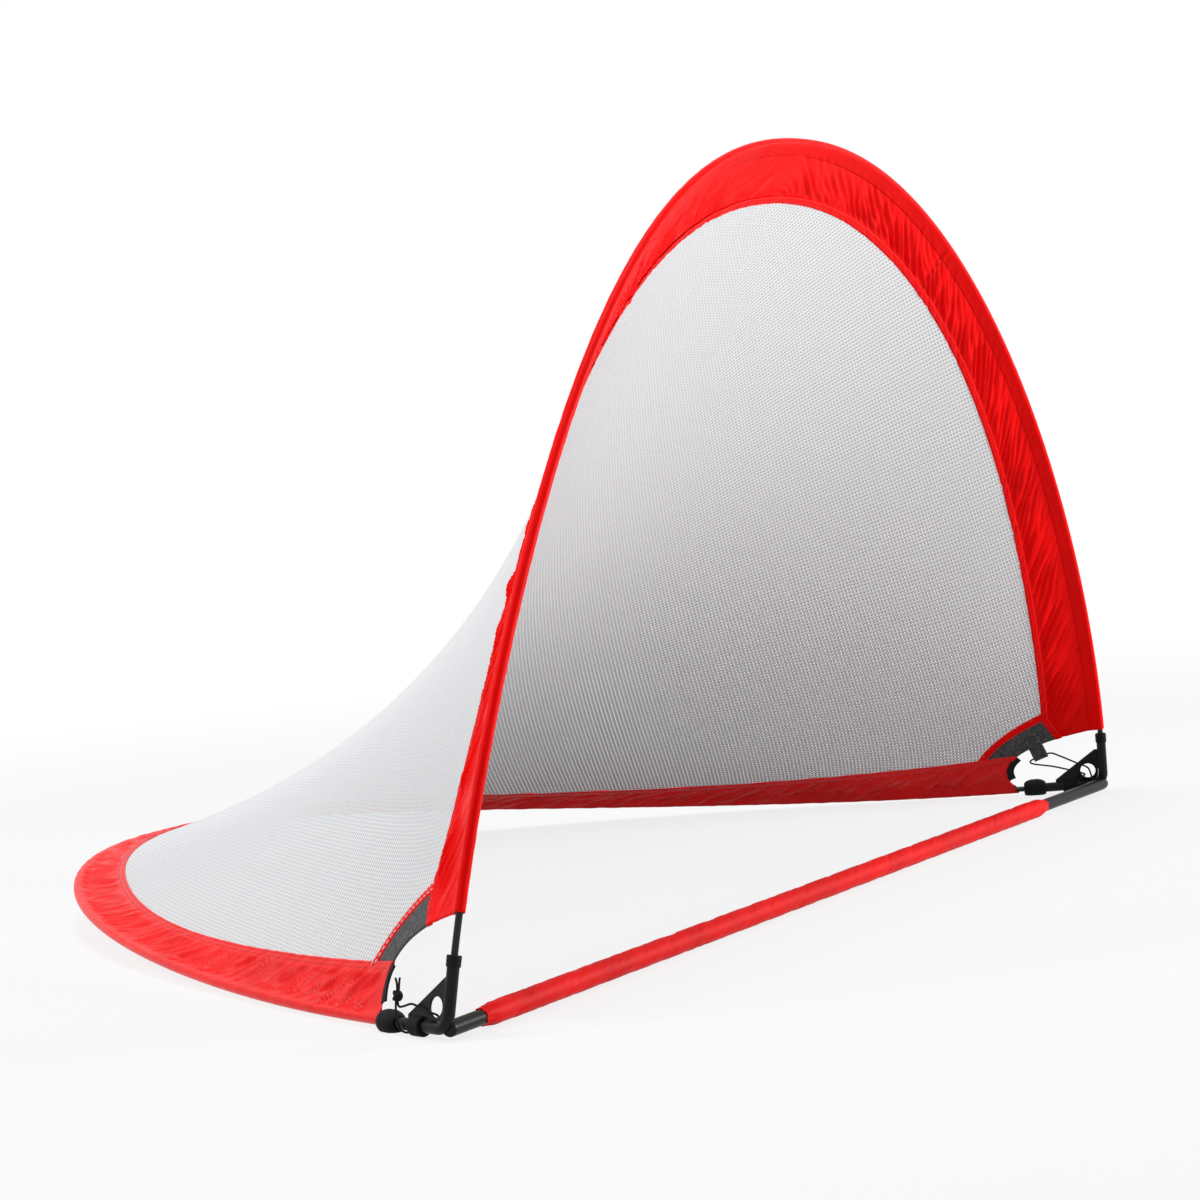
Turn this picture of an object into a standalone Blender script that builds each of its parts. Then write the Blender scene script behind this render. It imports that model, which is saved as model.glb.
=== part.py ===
"""Pop-up soccer goal: two sprung rod arches in fabric sleeves, a net between them, a weighted base bar.

Metres, +Z up. +X runs along the goal line to the right of a player who shoots at it, and +Y runs back
into the net. The origin is on the ground under the middle of the base bar.
"""

import math

import bmesh
import bpy
import numpy as np
from mathutils import Vector

# Driving dimensions of the arches: rise from the corners, lean back from the goal line, bow for each
# square metre of rise, and the two powers of their superellipse outlines
GOAL_WIDTH = 1.83
FRONT_ARCH_HEIGHT = 0.967
REAR_ARCH_DEPTH = 1.105
FRONT_LEAN = math.radians(94.9)
FRONT_BOW = 0.067
REAR_BOW = 0.0796
FRONT_FULLNESS = (2.165, 1.393)
REAR_FULLNESS = (2.236, 1.04)

# Rods, their ferrules and the elastic cord
ROD_RADIUS = 0.004
ROD_CLEARANCE = 0.0006
SLEEVE_EASE = 0.0018
FERRULE_WALL = 0.0007
FERRULE_LENGTH = 0.050
CORD_RADIUS = 0.0013
CORD_STEP = 2.4
KNOT_LENGTH = 0.013
KNOT_WALL = 0.0032

# Corner brackets: a bent tube with a socket at each end, a gusset plate in its angle and rubber fittings
CORNER_TUBE_RADIUS = 0.007
SOCKET_EASE = 0.0005
CORNER_BEND_RADIUS = 0.018
CORNER_INSET = 0.0025
FRONT_SOCKET_HEIGHT = 0.077
REAR_SOCKET_LENGTH = 0.100
ROD_STOP = 0.021
GUSSET_THICKNESS = 0.003
GUSSET_FRONT = 0.056
GUSSET_REAR = 0.073
GUSSET_HOLE_RADIUS = 0.0115
GUSSET_TIP = 0.004
COLLAR_WALL = 0.0014
COLLAR_HEIGHT = 0.011
GRIP_RADIUS = 0.0118
GRIP_START = 0.042
GRIP_LENGTH = 0.020
GRIP_SLOT_MARGIN = 0.002
BOOT_RADIUS = 0.0145
BOOT_START = 0.089
BOOT_LENGTH = 0.033
BOOT_SWEEP = math.radians(64)
BOOT_FULLNESS = 0.6

# Base bar; BARE_BAR is how much of it the cover leaves bare on the right (1) and on the left (-1)
BAR_RADIUS = 0.009
BAR_WALL = 0.0012
SPIGOT_LENGTH = 0.140
WEIGHT_START = 0.090
WEIGHT_END_GAP = 0.060
PAD_WALL = 0.0025
COVER_WALL = 0.0010
COVER_FLAT = 0.0005
BARE_BAR = {1: 0.235, -1: 0.065}
COVER_TAPER = 0.028

# Fabric: where each sleeve starts on its arch (right, left), how far the side edges are drawn in
# (sideways, back, up), and the pull along the arches at the front and what the back adds to it
SLEEVE_THICKNESS = 0.0016
SLEEVE_WRAP = (42, 316)
BAND_WIDTH = 0.092
BAND_SHARE = 0.34
BAND_STEPS = (1.0, 0.72, 0.44, 0.2)
NET_THICKNESS = 0.0024
FRONT_SLEEVE_START = (0.088, 0.123)
REAR_SLEEVE_START = (0.125, 0.117)
SIDE_PULL = (0.038, 0.050, 0.010)
NET_TENSION = (1.5, 2.0)
STRAP_WIDTH = 0.038
STRAP_THICKNESS = 0.0016
BINDING_WIDTH = 0.008
BINDING_THICKNESS = 0.0030
TAB_LENGTH = 0.020
TAB_WIDTH = 0.022
TAB_THICKNESS = 0.0012
TAB_LOOP_RADIUS = 0.0034
PATCH_LENGTH = 0.009
PATCH_THICKNESS = 0.0020
PATCH_CLEARANCE = 0.0035

# Gaps between pieces, and how finely they are cut
GAP = 0.0003
SEAM_GAP = 0.0010
NET_COLUMNS = 37
NET_ROWS = 15
ROD_POINTS = 19
TUBE_SIDES = 16
BAR_SIDES = 20
COVER_SIDES = 24
KNOT_SIDES = 12
FERRULE_SIDES = 10
COLUMN_STEP = 0.004
EDGE_STEP = 0.012
MILLIMETRE = 0.001

# Worked out from them
PAD_RADIUS = BAR_RADIUS + GAP + PAD_WALL
COVER_RADIUS = PAD_RADIUS + GAP + COVER_WALL
BAR_HEIGHT = COVER_RADIUS - COVER_FLAT
CORNER_X = GOAL_WIDTH / 2 + CORNER_INSET
FERRULE_RADIUS = ROD_RADIUS + ROD_CLEARANCE + FERRULE_WALL
SLEEVE_BORE = FERRULE_RADIUS + SLEEVE_EASE
SLEEVE_RADIUS = SLEEVE_BORE + SLEEVE_THICKNESS
# The rear arch dips until its sleeve just clears the ground
REAR_SLOPE = 2 * math.sqrt(REAR_BOW * (BAR_HEIGHT - SLEEVE_RADIUS - GAP))

RED = (0.62, 0.004, 0.004)
BLACK = (0.012, 0.012, 0.013)
GREY = (0.10, 0.10, 0.10)
WHITE = (0.80, 0.81, 0.82)
STEEL = (0.35, 0.35, 0.36)


def clear_scene():
    for thing in list(bpy.data.objects):
        bpy.data.objects.remove(thing, do_unlink=True)


def material(name, colour, roughness, metallic=0.0):
    found = bpy.data.materials.get(name)
    if found:
        return found
    made = bpy.data.materials.new(name)
    made.use_nodes = True
    shader = made.node_tree.nodes["Principled BSDF"]
    shader.inputs["Base Color"].default_value = (*colour, 1)
    shader.inputs["Roughness"].default_value = roughness
    shader.inputs["Metallic"].default_value = metallic
    return made


def red_nylon():
    return material("red_nylon", RED, 0.45)


def black_steel():
    return material("black_steel", BLACK, 0.38, 0.6)


def bare_steel():
    return material("bare_steel", STEEL, 0.35, 1.0)


def black_rubber():
    return material("black_rubber", BLACK, 0.8)


def black_fibreglass():
    return material("black_fibreglass", BLACK, 0.3)


def black_webbing():
    return material("black_webbing", GREY, 0.9)


def black_elastic():
    return material("black_elastic", BLACK, 0.85)


def white_net():
    return material("white_net", WHITE, 0.9)


def grey_foam():
    return material("grey_foam", GREY, 0.95)


def add_object(name, bm, stuff):
    """Makes one object from a bmesh, shaded smooth with its sharp edges kept."""
    bmesh.ops.recalc_face_normals(bm, faces=bm.faces)
    mesh = bpy.data.meshes.new(name)
    bm.to_mesh(mesh)
    bm.free()
    mesh.shade_smooth()
    mesh.set_sharp_from_angle(angle=math.radians(40))
    mesh.materials.append(stuff)
    made = bpy.data.objects.new(name, mesh)
    bpy.context.collection.objects.link(made)
    return made


def thicken(thing, thickness, offset=0.0):
    solid = thing.modifiers.new("thickness", "SOLIDIFY")
    solid.thickness = thickness
    solid.offset = offset
    solid.use_even_offset = True
    solid.use_quality_normals = True
    return thing


def unit(vector):
    vector = np.asarray(vector, float)
    return vector / np.linalg.norm(vector, axis=-1, keepdims=True)


def path_frames(path, first_side=(0, 0, 1)):
    """Tangent, side and lift at each point of a path, carried along it without twist."""
    path = np.asarray(path, float)
    tangents = unit(np.gradient(path, axis=0))
    side = np.cross(tangents[0], first_side)
    if np.linalg.norm(side) < 1e-6:
        side = np.cross(tangents[0], (0, 1, 0))
    sides = [unit(side)]
    for tangent in tangents[1:]:
        carried = sides[-1] - tangent * np.dot(sides[-1], tangent)
        sides.append(unit(carried))
    sides = np.array(sides)
    return tangents, sides, np.cross(sides, tangents)


def sweep(path, radii, sides, first_side=(0, 0, 1)):
    """Open tube surface along a path: rings of vertices joined by quads, as a bmesh."""
    path = np.asarray(path, float)
    radii = np.broadcast_to(radii, len(path))
    _, across, lift = path_frames(path, first_side)
    turn = np.linspace(0, 2 * math.pi, sides, endpoint=False) + math.pi / sides
    bm = bmesh.new()
    rings = []
    for centre, radius, a, b in zip(path, radii, across, lift):
        ring = [bm.verts.new(centre + radius * (math.cos(w) * a + math.sin(w) * b)) for w in turn]
        rings.append(ring)
    for low, high in zip(rings, rings[1:]):
        for i in range(sides):
            j = (i + 1) % sides
            bm.faces.new((low[i], low[j], high[j], high[i]))
    return bm, rings


def solid_tube(name, path, radii, sides, stuff, first_side=(0, 0, 1)):
    bm, rings = sweep(path, radii, sides, first_side)
    bm.faces.new(rings[0])
    bm.faces.new(rings[-1])
    return add_object(name, bm, stuff)


def hollow_tube(name, path, radii, wall, sides, stuff, first_side=(0, 0, 1)):
    """Tube open at both ends; radii are its outer radii and the wall grows inwards."""
    bm, rings = sweep(path, radii, sides, first_side)
    inner_bm_rings = []
    path = np.asarray(path, float)
    for ring, centre in zip(rings, path):
        inner = []
        for vert in ring:
            out = vert.co - Vector(centre)
            inner.append(bm.verts.new(Vector(centre) + out * (1 - wall / out.length)))
        inner_bm_rings.append(inner)
    for low, high in zip(inner_bm_rings, inner_bm_rings[1:]):
        for i in range(sides):
            j = (i + 1) % sides
            bm.faces.new((low[j], low[i], high[i], high[j]))
    for outer, inner in ((rings[0], inner_bm_rings[0]), (rings[-1], inner_bm_rings[-1])):
        for i in range(sides):
            j = (i + 1) % sides
            bm.faces.new((outer[i], inner[i], inner[j], outer[j]))
    return add_object(name, bm, stuff)


def add_curve_tube(name, points, radius, stuff, resolution=2):
    """Solid tube on a poly spline, with filled caps."""
    curve = bpy.data.curves.new(name, "CURVE")
    curve.dimensions = "3D"
    curve.bevel_depth = radius
    curve.bevel_resolution = resolution
    curve.use_fill_caps = True
    spline = curve.splines.new("POLY")
    spline.points.add(len(points) - 1)
    for point, place in zip(spline.points, points):
        point.co = (*place, 1)
    curve.materials.append(stuff)
    made = bpy.data.objects.new(name, curve)
    bpy.context.collection.objects.link(made)
    return made


def add_cutter(name, bm, target, operation="DIFFERENCE"):
    cutter = add_object(name, bm, black_steel())
    cutter.hide_render = True
    cutter.display_type = "WIRE"
    cut = target.modifiers.new(name, "BOOLEAN")
    cut.operation = operation
    cut.solver = "EXACT"
    cut.object = cutter
    return cutter


def box_bmesh(low, high):
    bm = bmesh.new()
    bmesh.ops.create_cube(bm, size=1)
    low, high = Vector(low), Vector(high)
    for vert in bm.verts:
        vert.co = Vector(low[i] + (vert.co[i] + 0.5) * (high[i] - low[i]) for i in range(3))
    return bm


# The two arches

def arch(width, height, fullness, angle):
    """Superellipse arch: sideways place and distance along the arch's rise, for angles 0 to pi."""
    flat, pointed = fullness
    across = np.sign(np.cos(angle)) * np.abs(np.cos(angle)) ** (2 / flat) * width / 2
    rise = height * np.abs(np.sin(angle)) ** (2 / pointed)
    return across, rise


def front_arch(angle):
    across, rise = arch(GOAL_WIDTH, FRONT_ARCH_HEIGHT, FRONT_FULLNESS, angle)
    back = rise * math.cos(FRONT_LEAN) + FRONT_BOW * rise**2
    return np.stack([across, back, BAR_HEIGHT + rise * math.sin(FRONT_LEAN)], -1)


def rear_arch(angle):
    across, rise = arch(GOAL_WIDTH, REAR_ARCH_DEPTH, REAR_FULLNESS, angle)
    return np.stack([across, rise, BAR_HEIGHT - REAR_SLOPE * rise + REAR_BOW * rise**2], -1)


def front_angle(rise):
    return math.asin((rise / FRONT_ARCH_HEIGHT) ** (FRONT_FULLNESS[1] / 2))


def rear_angle(rise):
    return math.asin((rise / REAR_ARCH_DEPTH) ** (REAR_FULLNESS[1] / 2))


def corner_point(side):
    return np.array([side * CORNER_X, 0, BAR_HEIGHT])


def socket_mouth(side, front):
    """Where a rod leaves its socket, on its arch."""
    angle = front_angle(FRONT_SOCKET_HEIGHT) if front else rear_angle(REAR_SOCKET_LENGTH)
    angle = angle if side > 0 else math.pi - angle
    return front_arch(np.array(angle)) if front else rear_arch(np.array(angle))


def rod_path(front, count):
    """One arch from stop to stop: straight inside both sockets, bowed between them."""
    shape = front_arch if front else rear_arch
    start = front_angle(FRONT_SOCKET_HEIGHT) if front else rear_angle(REAR_SOCKET_LENGTH)
    middle = shape(np.linspace(start, math.pi - start, count))
    ends = []
    for side in (1, -1):
        corner = corner_point(side)
        direction = unit(socket_mouth(side, front) - corner)
        ends.append(corner + direction * ROD_STOP)
    right, left = ends
    nearly_right = right + (middle[0] - right) * 0.9
    nearly_left = left + (middle[-1] - left) * 0.9
    return np.concatenate([[right, nearly_right], middle, [nearly_left, left]])


def resample(path, start, end, count):
    """Points at equal distances between two shares of a path's length."""
    steps = np.linalg.norm(np.diff(path, axis=0), axis=1)
    along = np.concatenate([[0], np.cumsum(steps)])
    wanted = np.linspace(start, end, count) * along[-1]
    return np.stack([np.interp(wanted, along, path[:, i]) for i in range(3)], 1)


# The fabric between them

def fabric_grid(columns=97, rows=33, rounds=2500):
    """Tensioned surface from the front rod to the rear rod, as points [row, column].

    Its front and rear edges are the rods and its side edges are drawn inwards between them. Inside,
    each point settles at the average of its neighbours, with more pull along the arches near the back.
    """
    front = front_arch(np.linspace(front_angle(FRONT_SLEEVE_START[0]),
                                   math.pi - front_angle(FRONT_SLEEVE_START[1]), columns))
    rear = rear_arch(np.linspace(rear_angle(REAR_SLEEVE_START[0]),
                                 math.pi - rear_angle(REAR_SLEEVE_START[1]), columns))
    share = np.linspace(0, 1, rows)[:, None, None]
    grid = (1 - share) * front[None] + share * rear[None]
    for column, side in ((0, 1), (-1, -1)):
        near, far = grid[0, column], grid[-1, column]
        pull = np.array([-side * SIDE_PULL[0], SIDE_PULL[1], SIDE_PULL[2]])
        turn = (near + far) / 2 + 2 * pull
        bend = share[:, 0]
        grid[:, column] = (1 - bend) ** 2 * near + 2 * bend * (1 - bend) * turn + bend**2 * far
    along = (NET_TENSION[0] + NET_TENSION[1] * share**2)[1:-1]
    for _ in range(rounds):
        sideways = grid[1:-1, :-2] + grid[1:-1, 2:]
        endways = grid[:-2, 1:-1] + grid[2:, 1:-1]
        grid[1:-1, 1:-1] = (along * sideways + endways) / (2 * along + 2)
    return grid


class Fabric:
    """The tensioned surface, read by column share and by distance from either rod."""

    def __init__(self):
        self.grid = fabric_grid()
        rows, columns = self.grid.shape[:2]
        self.columns = columns
        edge = np.linalg.norm(np.diff(self.grid[rows // 2], axis=0), axis=1)
        self.side_step = (edge[0], edge[-1])

    def column(self, share):
        """Points and running lengths down the fabric at a share of the way from the right side."""
        place = share * (self.columns - 1)
        low = min(int(place), self.columns - 2)
        part = place - low
        points = (1 - part) * self.grid[:, low] + part * self.grid[:, low + 1]
        steps = np.linalg.norm(np.diff(points, axis=0), axis=1)
        return points, np.concatenate([[0], np.cumsum(steps)])

    def at(self, share, distances):
        """Points at distances from the front rod; negative ones count from the rear rod."""
        points, lengths = self.column(share)
        distances = np.asarray(distances, float)
        distances = np.where(distances < 0, lengths[-1] + distances, distances)
        return np.stack([np.interp(distances, lengths, points[:, i]) for i in range(3)], -1)

    def length(self, share):
        return self.column(share)[1][-1]

    def rod_point(self, share, front):
        return self.column(share)[0][0 if front else -1]

    def side_share(self, inwards):
        """Column share at a distance inwards from a side edge, measured halfway down."""
        return inwards / (self.side_step[0] * (self.columns - 1))


def band_width(fabric, share):
    """A sleeve's band is full width, but near the sides it leaves room for the corner strap."""
    return min(BAND_WIDTH, BAND_SHARE * fabric.length(share))


def grid_object(name, points, stuff, thickness, offset=0.0):
    """Sheet through a grid of points, made solid by its thickness."""
    bm = bmesh.new()
    rows = [[bm.verts.new(point) for point in row] for row in points]
    for low, high in zip(rows, rows[1:]):
        for i in range(len(low) - 1):
            bm.faces.new((low[i], low[i + 1], high[i + 1], high[i]))
    return thicken(add_object(name, bm, stuff), thickness, offset)


def column_shares(fabric):
    """Column shares that every fabric piece is cut at, so that neighbours' edges follow each other."""
    strap = fabric.side_share(STRAP_WIDTH)
    binding = fabric.side_share(STRAP_WIDTH + SEAM_GAP)
    bound = fabric.side_share(STRAP_WIDTH + SEAM_GAP + BINDING_WIDTH)
    net = fabric.side_share(STRAP_WIDTH + 2 * SEAM_GAP + BINDING_WIDTH)
    side = [0, strap / 2, strap, binding, bound]
    return np.array([*side, *np.linspace(net, 1 - net, NET_COLUMNS), *[1 - x for x in side[::-1]]])


def add_net(fabric):
    """The net, inside the bindings and the two hems."""
    rows = []
    for share in column_shares(fabric)[5:-5]:
        width = band_width(fabric, share) + SEAM_GAP
        rows.append(fabric.at(share, np.linspace(width, fabric.length(share) - width, NET_ROWS)))
    return grid_object("net", rows, white_net(), NET_THICKNESS)


def sleeve_section(fabric, share, front, turns=7):
    """Centre line of one sleeve section: in along the band, then round the rod."""
    width = band_width(fabric, share)
    reach = SLEEVE_RADIUS - SLEEVE_THICKNESS / 2
    inward = np.array(BAND_STEPS) * (width - 2 * reach) + 2 * reach
    band = fabric.at(share, inward if front else -inward)
    rod = fabric.rod_point(share, front)
    ahead = fabric.rod_point(min(share + COLUMN_STEP, 1), front)
    behind = fabric.rod_point(max(share - COLUMN_STEP, 0), front)
    tangent = unit(ahead - behind)
    inwards = unit(band[-1] - rod)
    inwards = unit(inwards - tangent * np.dot(inwards, tangent))
    lift = np.cross(tangent, inwards) * (1 if front else -1)
    turn = np.radians(np.linspace(*SLEEVE_WRAP, turns))[:, None]
    ring = rod + reach * (np.cos(turn) * inwards + np.sin(turn) * lift)
    return np.concatenate([band, ring])


def add_sleeve(fabric, name, front):
    rows = [sleeve_section(fabric, share, front) for share in column_shares(fabric)]
    return grid_object(name, rows, red_nylon(), SLEEVE_THICKNESS)


def strip(fabric, shares, count):
    """Grid of a strip down the fabric at some column shares, between the two bands."""
    rows = []
    for share in shares:
        width = band_width(fabric, share) + SEAM_GAP
        rows.append(fabric.at(share, np.linspace(width, fabric.length(share) - width, count)))
    return rows


def add_corner_fabric(fabric, side, word):
    """Webbing strap across a corner and the net's binding beside it."""
    shares = column_shares(fabric)
    shares = shares if side > 0 else shares[::-1]
    strap = strip(fabric, shares[:3], 6)
    grid_object(f"{word}_corner_strap", strap, black_webbing(), STRAP_THICKNESS)
    binding = strip(fabric, shares[3:5], 7)
    grid_object(f"{word}_net_binding", binding, red_nylon(), BINDING_THICKNESS)


def add_strap_tab(fabric, side, word):
    """Loop of tape sewn to the strap's outer edge, folded round the elastic cord."""
    share = 0 if side > 0 else 1
    inner_share = share + EDGE_STEP * side
    middle = fabric.length(share) / 2
    edge, above, below = fabric.at(share, [middle, middle - TAB_WIDTH / 2, middle + TAB_WIDTH / 2])
    inside = fabric.at(inner_share, [fabric.length(inner_share) / 2])[0]
    along = unit(below - above)
    outwards = unit(edge - inside)
    outwards = unit(outwards - along * np.dot(outwards, along))
    lift = np.cross(along, outwards)
    base = edge + outwards * (STRAP_THICKNESS / 2 + SEAM_GAP)
    bend = np.radians(np.linspace(-90, 90, 7))
    near = [(0, -TAB_LOOP_RADIUS), (TAB_LENGTH / 2, -TAB_LOOP_RADIUS)]
    far = [(TAB_LENGTH / 2, TAB_LOOP_RADIUS), (0, TAB_LOOP_RADIUS)]
    curl = [(TAB_LENGTH + TAB_LOOP_RADIUS * math.cos(w), TAB_LOOP_RADIUS * math.sin(w)) for w in bend]
    rows = []
    for shift in (-TAB_WIDTH / 2, TAB_WIDTH / 2):
        start = base + along * shift
        rows.append([start + outwards * out + lift * up for out, up in near + curl + far])
    grid_object(f"{word}_strap_tab", rows, black_webbing(), TAB_THICKNESS)


def add_band_patch(fabric, side, word):
    """Dark tape that finishes the rear band's end beside the boot."""
    share = 0 if side > 0 else 1
    inside = share + EDGE_STEP * side
    width = band_width(fabric, share)
    down = -np.linspace(2 * SLEEVE_RADIUS + PATCH_CLEARANCE, width, 5)
    edge = fabric.at(share, down)
    away = unit(edge - fabric.at(inside, down))
    rows = [edge + away * (2 * SEAM_GAP + reach) for reach in (0, PATCH_LENGTH)]
    grid_object(f"{word}_band_end_patch", rows, black_webbing(), PATCH_THICKNESS)


# Rods and their ferrules

def add_rods(front, word):
    """One arch in four rods, with a ferrule round each joint between them."""
    path = rod_path(front, 61)
    cuts = (0, 0.25, 0.5, 0.75, 1)
    names = ("right_lower", "right_upper", "left_upper", "left_lower")
    total = np.linalg.norm(np.diff(path, axis=0), axis=1).sum()
    gap = GAP / total
    for name, start, end in zip(names, cuts, cuts[1:]):
        start = start + gap / 2 if start else start
        end = end - gap / 2 if end < 1 else end
        points = resample(path, start, end, ROD_POINTS)
        if start == 0:
            points = np.concatenate([points[:1], [path[2]], points[points_past(points, path[2])]])
        if end == 1:
            points = np.concatenate([points[points_before(points, path[-3])], [path[-3]], points[-1:]])
        add_curve_tube(f"{word}_rod_{name}", points, ROD_RADIUS, black_fibreglass())
    for name, middle in zip(("right", "top", "left"), cuts[1:-1]):
        half = FERRULE_LENGTH / 2 / total
        points = resample(path, middle - half, middle + half, 4)
        hollow_tube(f"{word}_ferrule_{name}", points, FERRULE_RADIUS, FERRULE_WALL, FERRULE_SIDES,
                    bare_steel())


def points_past(points, mouth):
    """Which points of a rod lie beyond its socket's mouth, counted from the stop."""
    return np.linalg.norm(points - points[0], axis=1) > np.linalg.norm(mouth - points[0]) + ROD_RADIUS


def points_before(points, mouth):
    return np.linalg.norm(points - points[-1], axis=1) > np.linalg.norm(mouth - points[-1]) + ROD_RADIUS


# Corner brackets

class Corner:
    """One corner: its two leg directions, the normal towards the goal's middle, and its bend."""

    def __init__(self, side):
        self.side = side
        self.word = "right" if side > 0 else "left"
        self.point = corner_point(side)
        self.front_mouth = socket_mouth(side, True)
        self.rear_mouth = socket_mouth(side, False)
        self.front = unit(self.front_mouth - self.point)
        self.rear = unit(self.rear_mouth - self.point)
        self.front_length = float(np.linalg.norm(self.front_mouth - self.point))
        self.rear_length = float(np.linalg.norm(self.rear_mouth - self.point))
        self.inwards = unit(np.cross(self.front, self.rear)) * -side
        if self.inwards[0] * side > 0:
            self.inwards = -self.inwards
        self.spread = math.acos(float(np.dot(self.front, self.rear)))
        self.tangent = CORNER_BEND_RADIUS / math.tan(self.spread / 2)
        middle = unit(self.front + self.rear)
        self.bend_centre = self.point + middle * CORNER_BEND_RADIUS / math.sin(self.spread / 2)

    def at(self, front, rear, inwards=0.0):
        """A place from its distances along the front leg, along the rear leg and inwards."""
        return self.point + self.front * front + self.rear * rear + self.inwards * inwards

    def bend(self, radius, count):
        """Arc round the bend's centre, from the front leg to the rear leg."""
        first = self.at(self.tangent, 0) - self.bend_centre
        last = self.at(0, self.tangent) - self.bend_centre
        start = unit(first)
        across = unit(last - start * np.dot(last, start))
        angles = np.linspace(0, math.pi - self.spread, count)
        return [self.bend_centre + radius * (math.cos(w) * start + math.sin(w) * across) for w in angles]

    def tube_path(self, count=8):
        return [self.front_mouth, *self.bend(CORNER_BEND_RADIUS, count), self.rear_mouth]


def turned(name, start, direction, profile, sides, stuff):
    """Closed profile of (distance, radius) pairs turned about an axis, with a bore through it."""
    direction = unit(direction)
    across = unit(np.cross(direction, (0.0, 0.0, 1.0) if abs(direction[2]) < 0.9 else (0.0, 1.0, 0.0)))
    lift = np.cross(direction, across)
    bm = bmesh.new()
    rings = []
    for distance, radius in profile:
        centre = np.asarray(start) + direction * distance
        turn = (np.arange(sides) + 0.5) * 2 * math.pi / sides
        ring = [bm.verts.new(centre + radius * (math.cos(w) * across + math.sin(w) * lift)) for w in turn]
        rings.append(ring)
    for low, high in zip(rings, rings[1:] + rings[:1]):
        for i in range(sides):
            j = (i + 1) % sides
            bm.faces.new((low[i], low[j], high[j], high[i]))
    return add_object(name, bm, stuff)


def add_corner_tube(corner):
    path = corner.tube_path()
    wall = CORNER_TUBE_RADIUS - ROD_RADIUS - SOCKET_EASE
    return hollow_tube(f"{corner.word}_corner_tube", path, CORNER_TUBE_RADIUS, wall, TUBE_SIDES,
                       black_steel(), (1, 0, 0))


def gusset_outline(corner, grow=0.0):
    """Corners of the gusset plate: clear of both legs and of the bend, with blunt tips."""
    near = (CORNER_TUBE_RADIUS + GAP) / math.sin(corner.spread)
    bend = corner.bend(CORNER_BEND_RADIUS - CORNER_TUBE_RADIUS - GAP + grow, 6)
    front = corner.at(GUSSET_FRONT, near)
    rear = corner.at(near, GUSSET_REAR)
    tip = GUSSET_TIP
    return [front, *bend, rear, rear + corner.front * tip, front + corner.rear * tip]


def gusset_bmesh(corner, thickness, grow=0.0):
    bm = bmesh.new()
    shift = corner.inwards * thickness / 2
    outline = gusset_outline(corner, grow)
    sides = [[bm.verts.new(point + shift * sign) for point in outline] for sign in (-1, 1)]
    bm.faces.new(sides[0])
    bm.faces.new(sides[1][::-1])
    for i in range(len(outline)):
        j = (i + 1) % len(outline)
        bm.faces.new((sides[0][i], sides[1][i], sides[1][j], sides[0][j]))
    return bm


def gusset_hole_place(corner):
    reach = (CORNER_TUBE_RADIUS + GAP + GUSSET_TIP + GUSSET_HOLE_RADIUS) / math.sin(corner.spread)
    return corner.at(reach, reach)


def add_gusset(corner):
    plate = add_object(f"{corner.word}_gusset", gusset_bmesh(corner, GUSSET_THICKNESS), black_steel())
    centre = gusset_hole_place(corner)
    reach = corner.inwards * GUSSET_THICKNESS * 2
    bm, rings = sweep([centre - reach, centre + reach], GUSSET_HOLE_RADIUS, BAR_SIDES)
    bm.faces.new(rings[0])
    bm.faces.new(rings[-1])
    add_cutter(f"{corner.word}_gusset_hole", bm, plate)


def add_socket_collar(corner):
    """Cap pressed over the front socket's mouth, with a lip and a hole for the rod."""
    bore = CORNER_TUBE_RADIUS + GAP
    rod = ROD_RADIUS + SOCKET_EASE
    top = corner.front_length + GAP
    lip = top + COLLAR_WALL
    low = corner.front_length - COLLAR_HEIGHT
    outer = bore + COLLAR_WALL
    profile = [(low, outer), (lip - COLLAR_WALL / 2, outer), (lip, outer - COLLAR_WALL / 2), (lip, rod),
               (top, rod), (top, bore), (low, bore)]
    turned(f"{corner.word}_socket_collar", corner.point, corner.front, profile, TUBE_SIDES, black_rubber())


def add_floor_grip(corner):
    """Rubber sleeve on the rear leg, slotted for the gusset, with a flat sole on the ground."""
    bore = CORNER_TUBE_RADIUS + GAP
    edge = (GRIP_RADIUS - bore) / 3
    start, end = GRIP_START, GRIP_START + GRIP_LENGTH
    profile = [(start, GRIP_RADIUS - edge), (start + edge, GRIP_RADIUS), (end - edge, GRIP_RADIUS),
               (end, GRIP_RADIUS - edge), (end, bore), (start, bore)]
    grip = turned(f"{corner.word}_floor_grip", corner.point, corner.rear, profile, TUBE_SIDES, black_rubber())
    slot = gusset_bmesh(corner, GUSSET_THICKNESS + 2 * GAP, GRIP_SLOT_MARGIN)
    add_cutter(f"{corner.word}_grip_slot", slot, grip)
    add_ground_cutter(f"{corner.word}_grip_sole", grip)


def add_boot(corner):
    """Rubber boot over the rear socket's mouth, round in outline, with a flat sole."""
    leg = CORNER_TUBE_RADIUS + GAP
    rod = ROD_RADIUS + SOCKET_EASE
    mouth = corner.rear_length + GAP
    half = BOOT_LENGTH / 2
    middle = BOOT_START + half
    turns = np.linspace(-BOOT_SWEEP, BOOT_SWEEP, 9)
    places = middle + half * np.sin(turns) / math.sin(BOOT_SWEEP)
    profile = list(zip(places, BOOT_RADIUS * np.cos(turns) ** BOOT_FULLNESS))
    profile += [(BOOT_START + BOOT_LENGTH, rod), (mouth, rod), (mouth, leg), (BOOT_START, leg)]
    boot = turned(f"{corner.word}_boot", corner.point, corner.rear, profile, TUBE_SIDES, black_rubber())
    add_ground_cutter(f"{corner.word}_boot_sole", boot)


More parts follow.
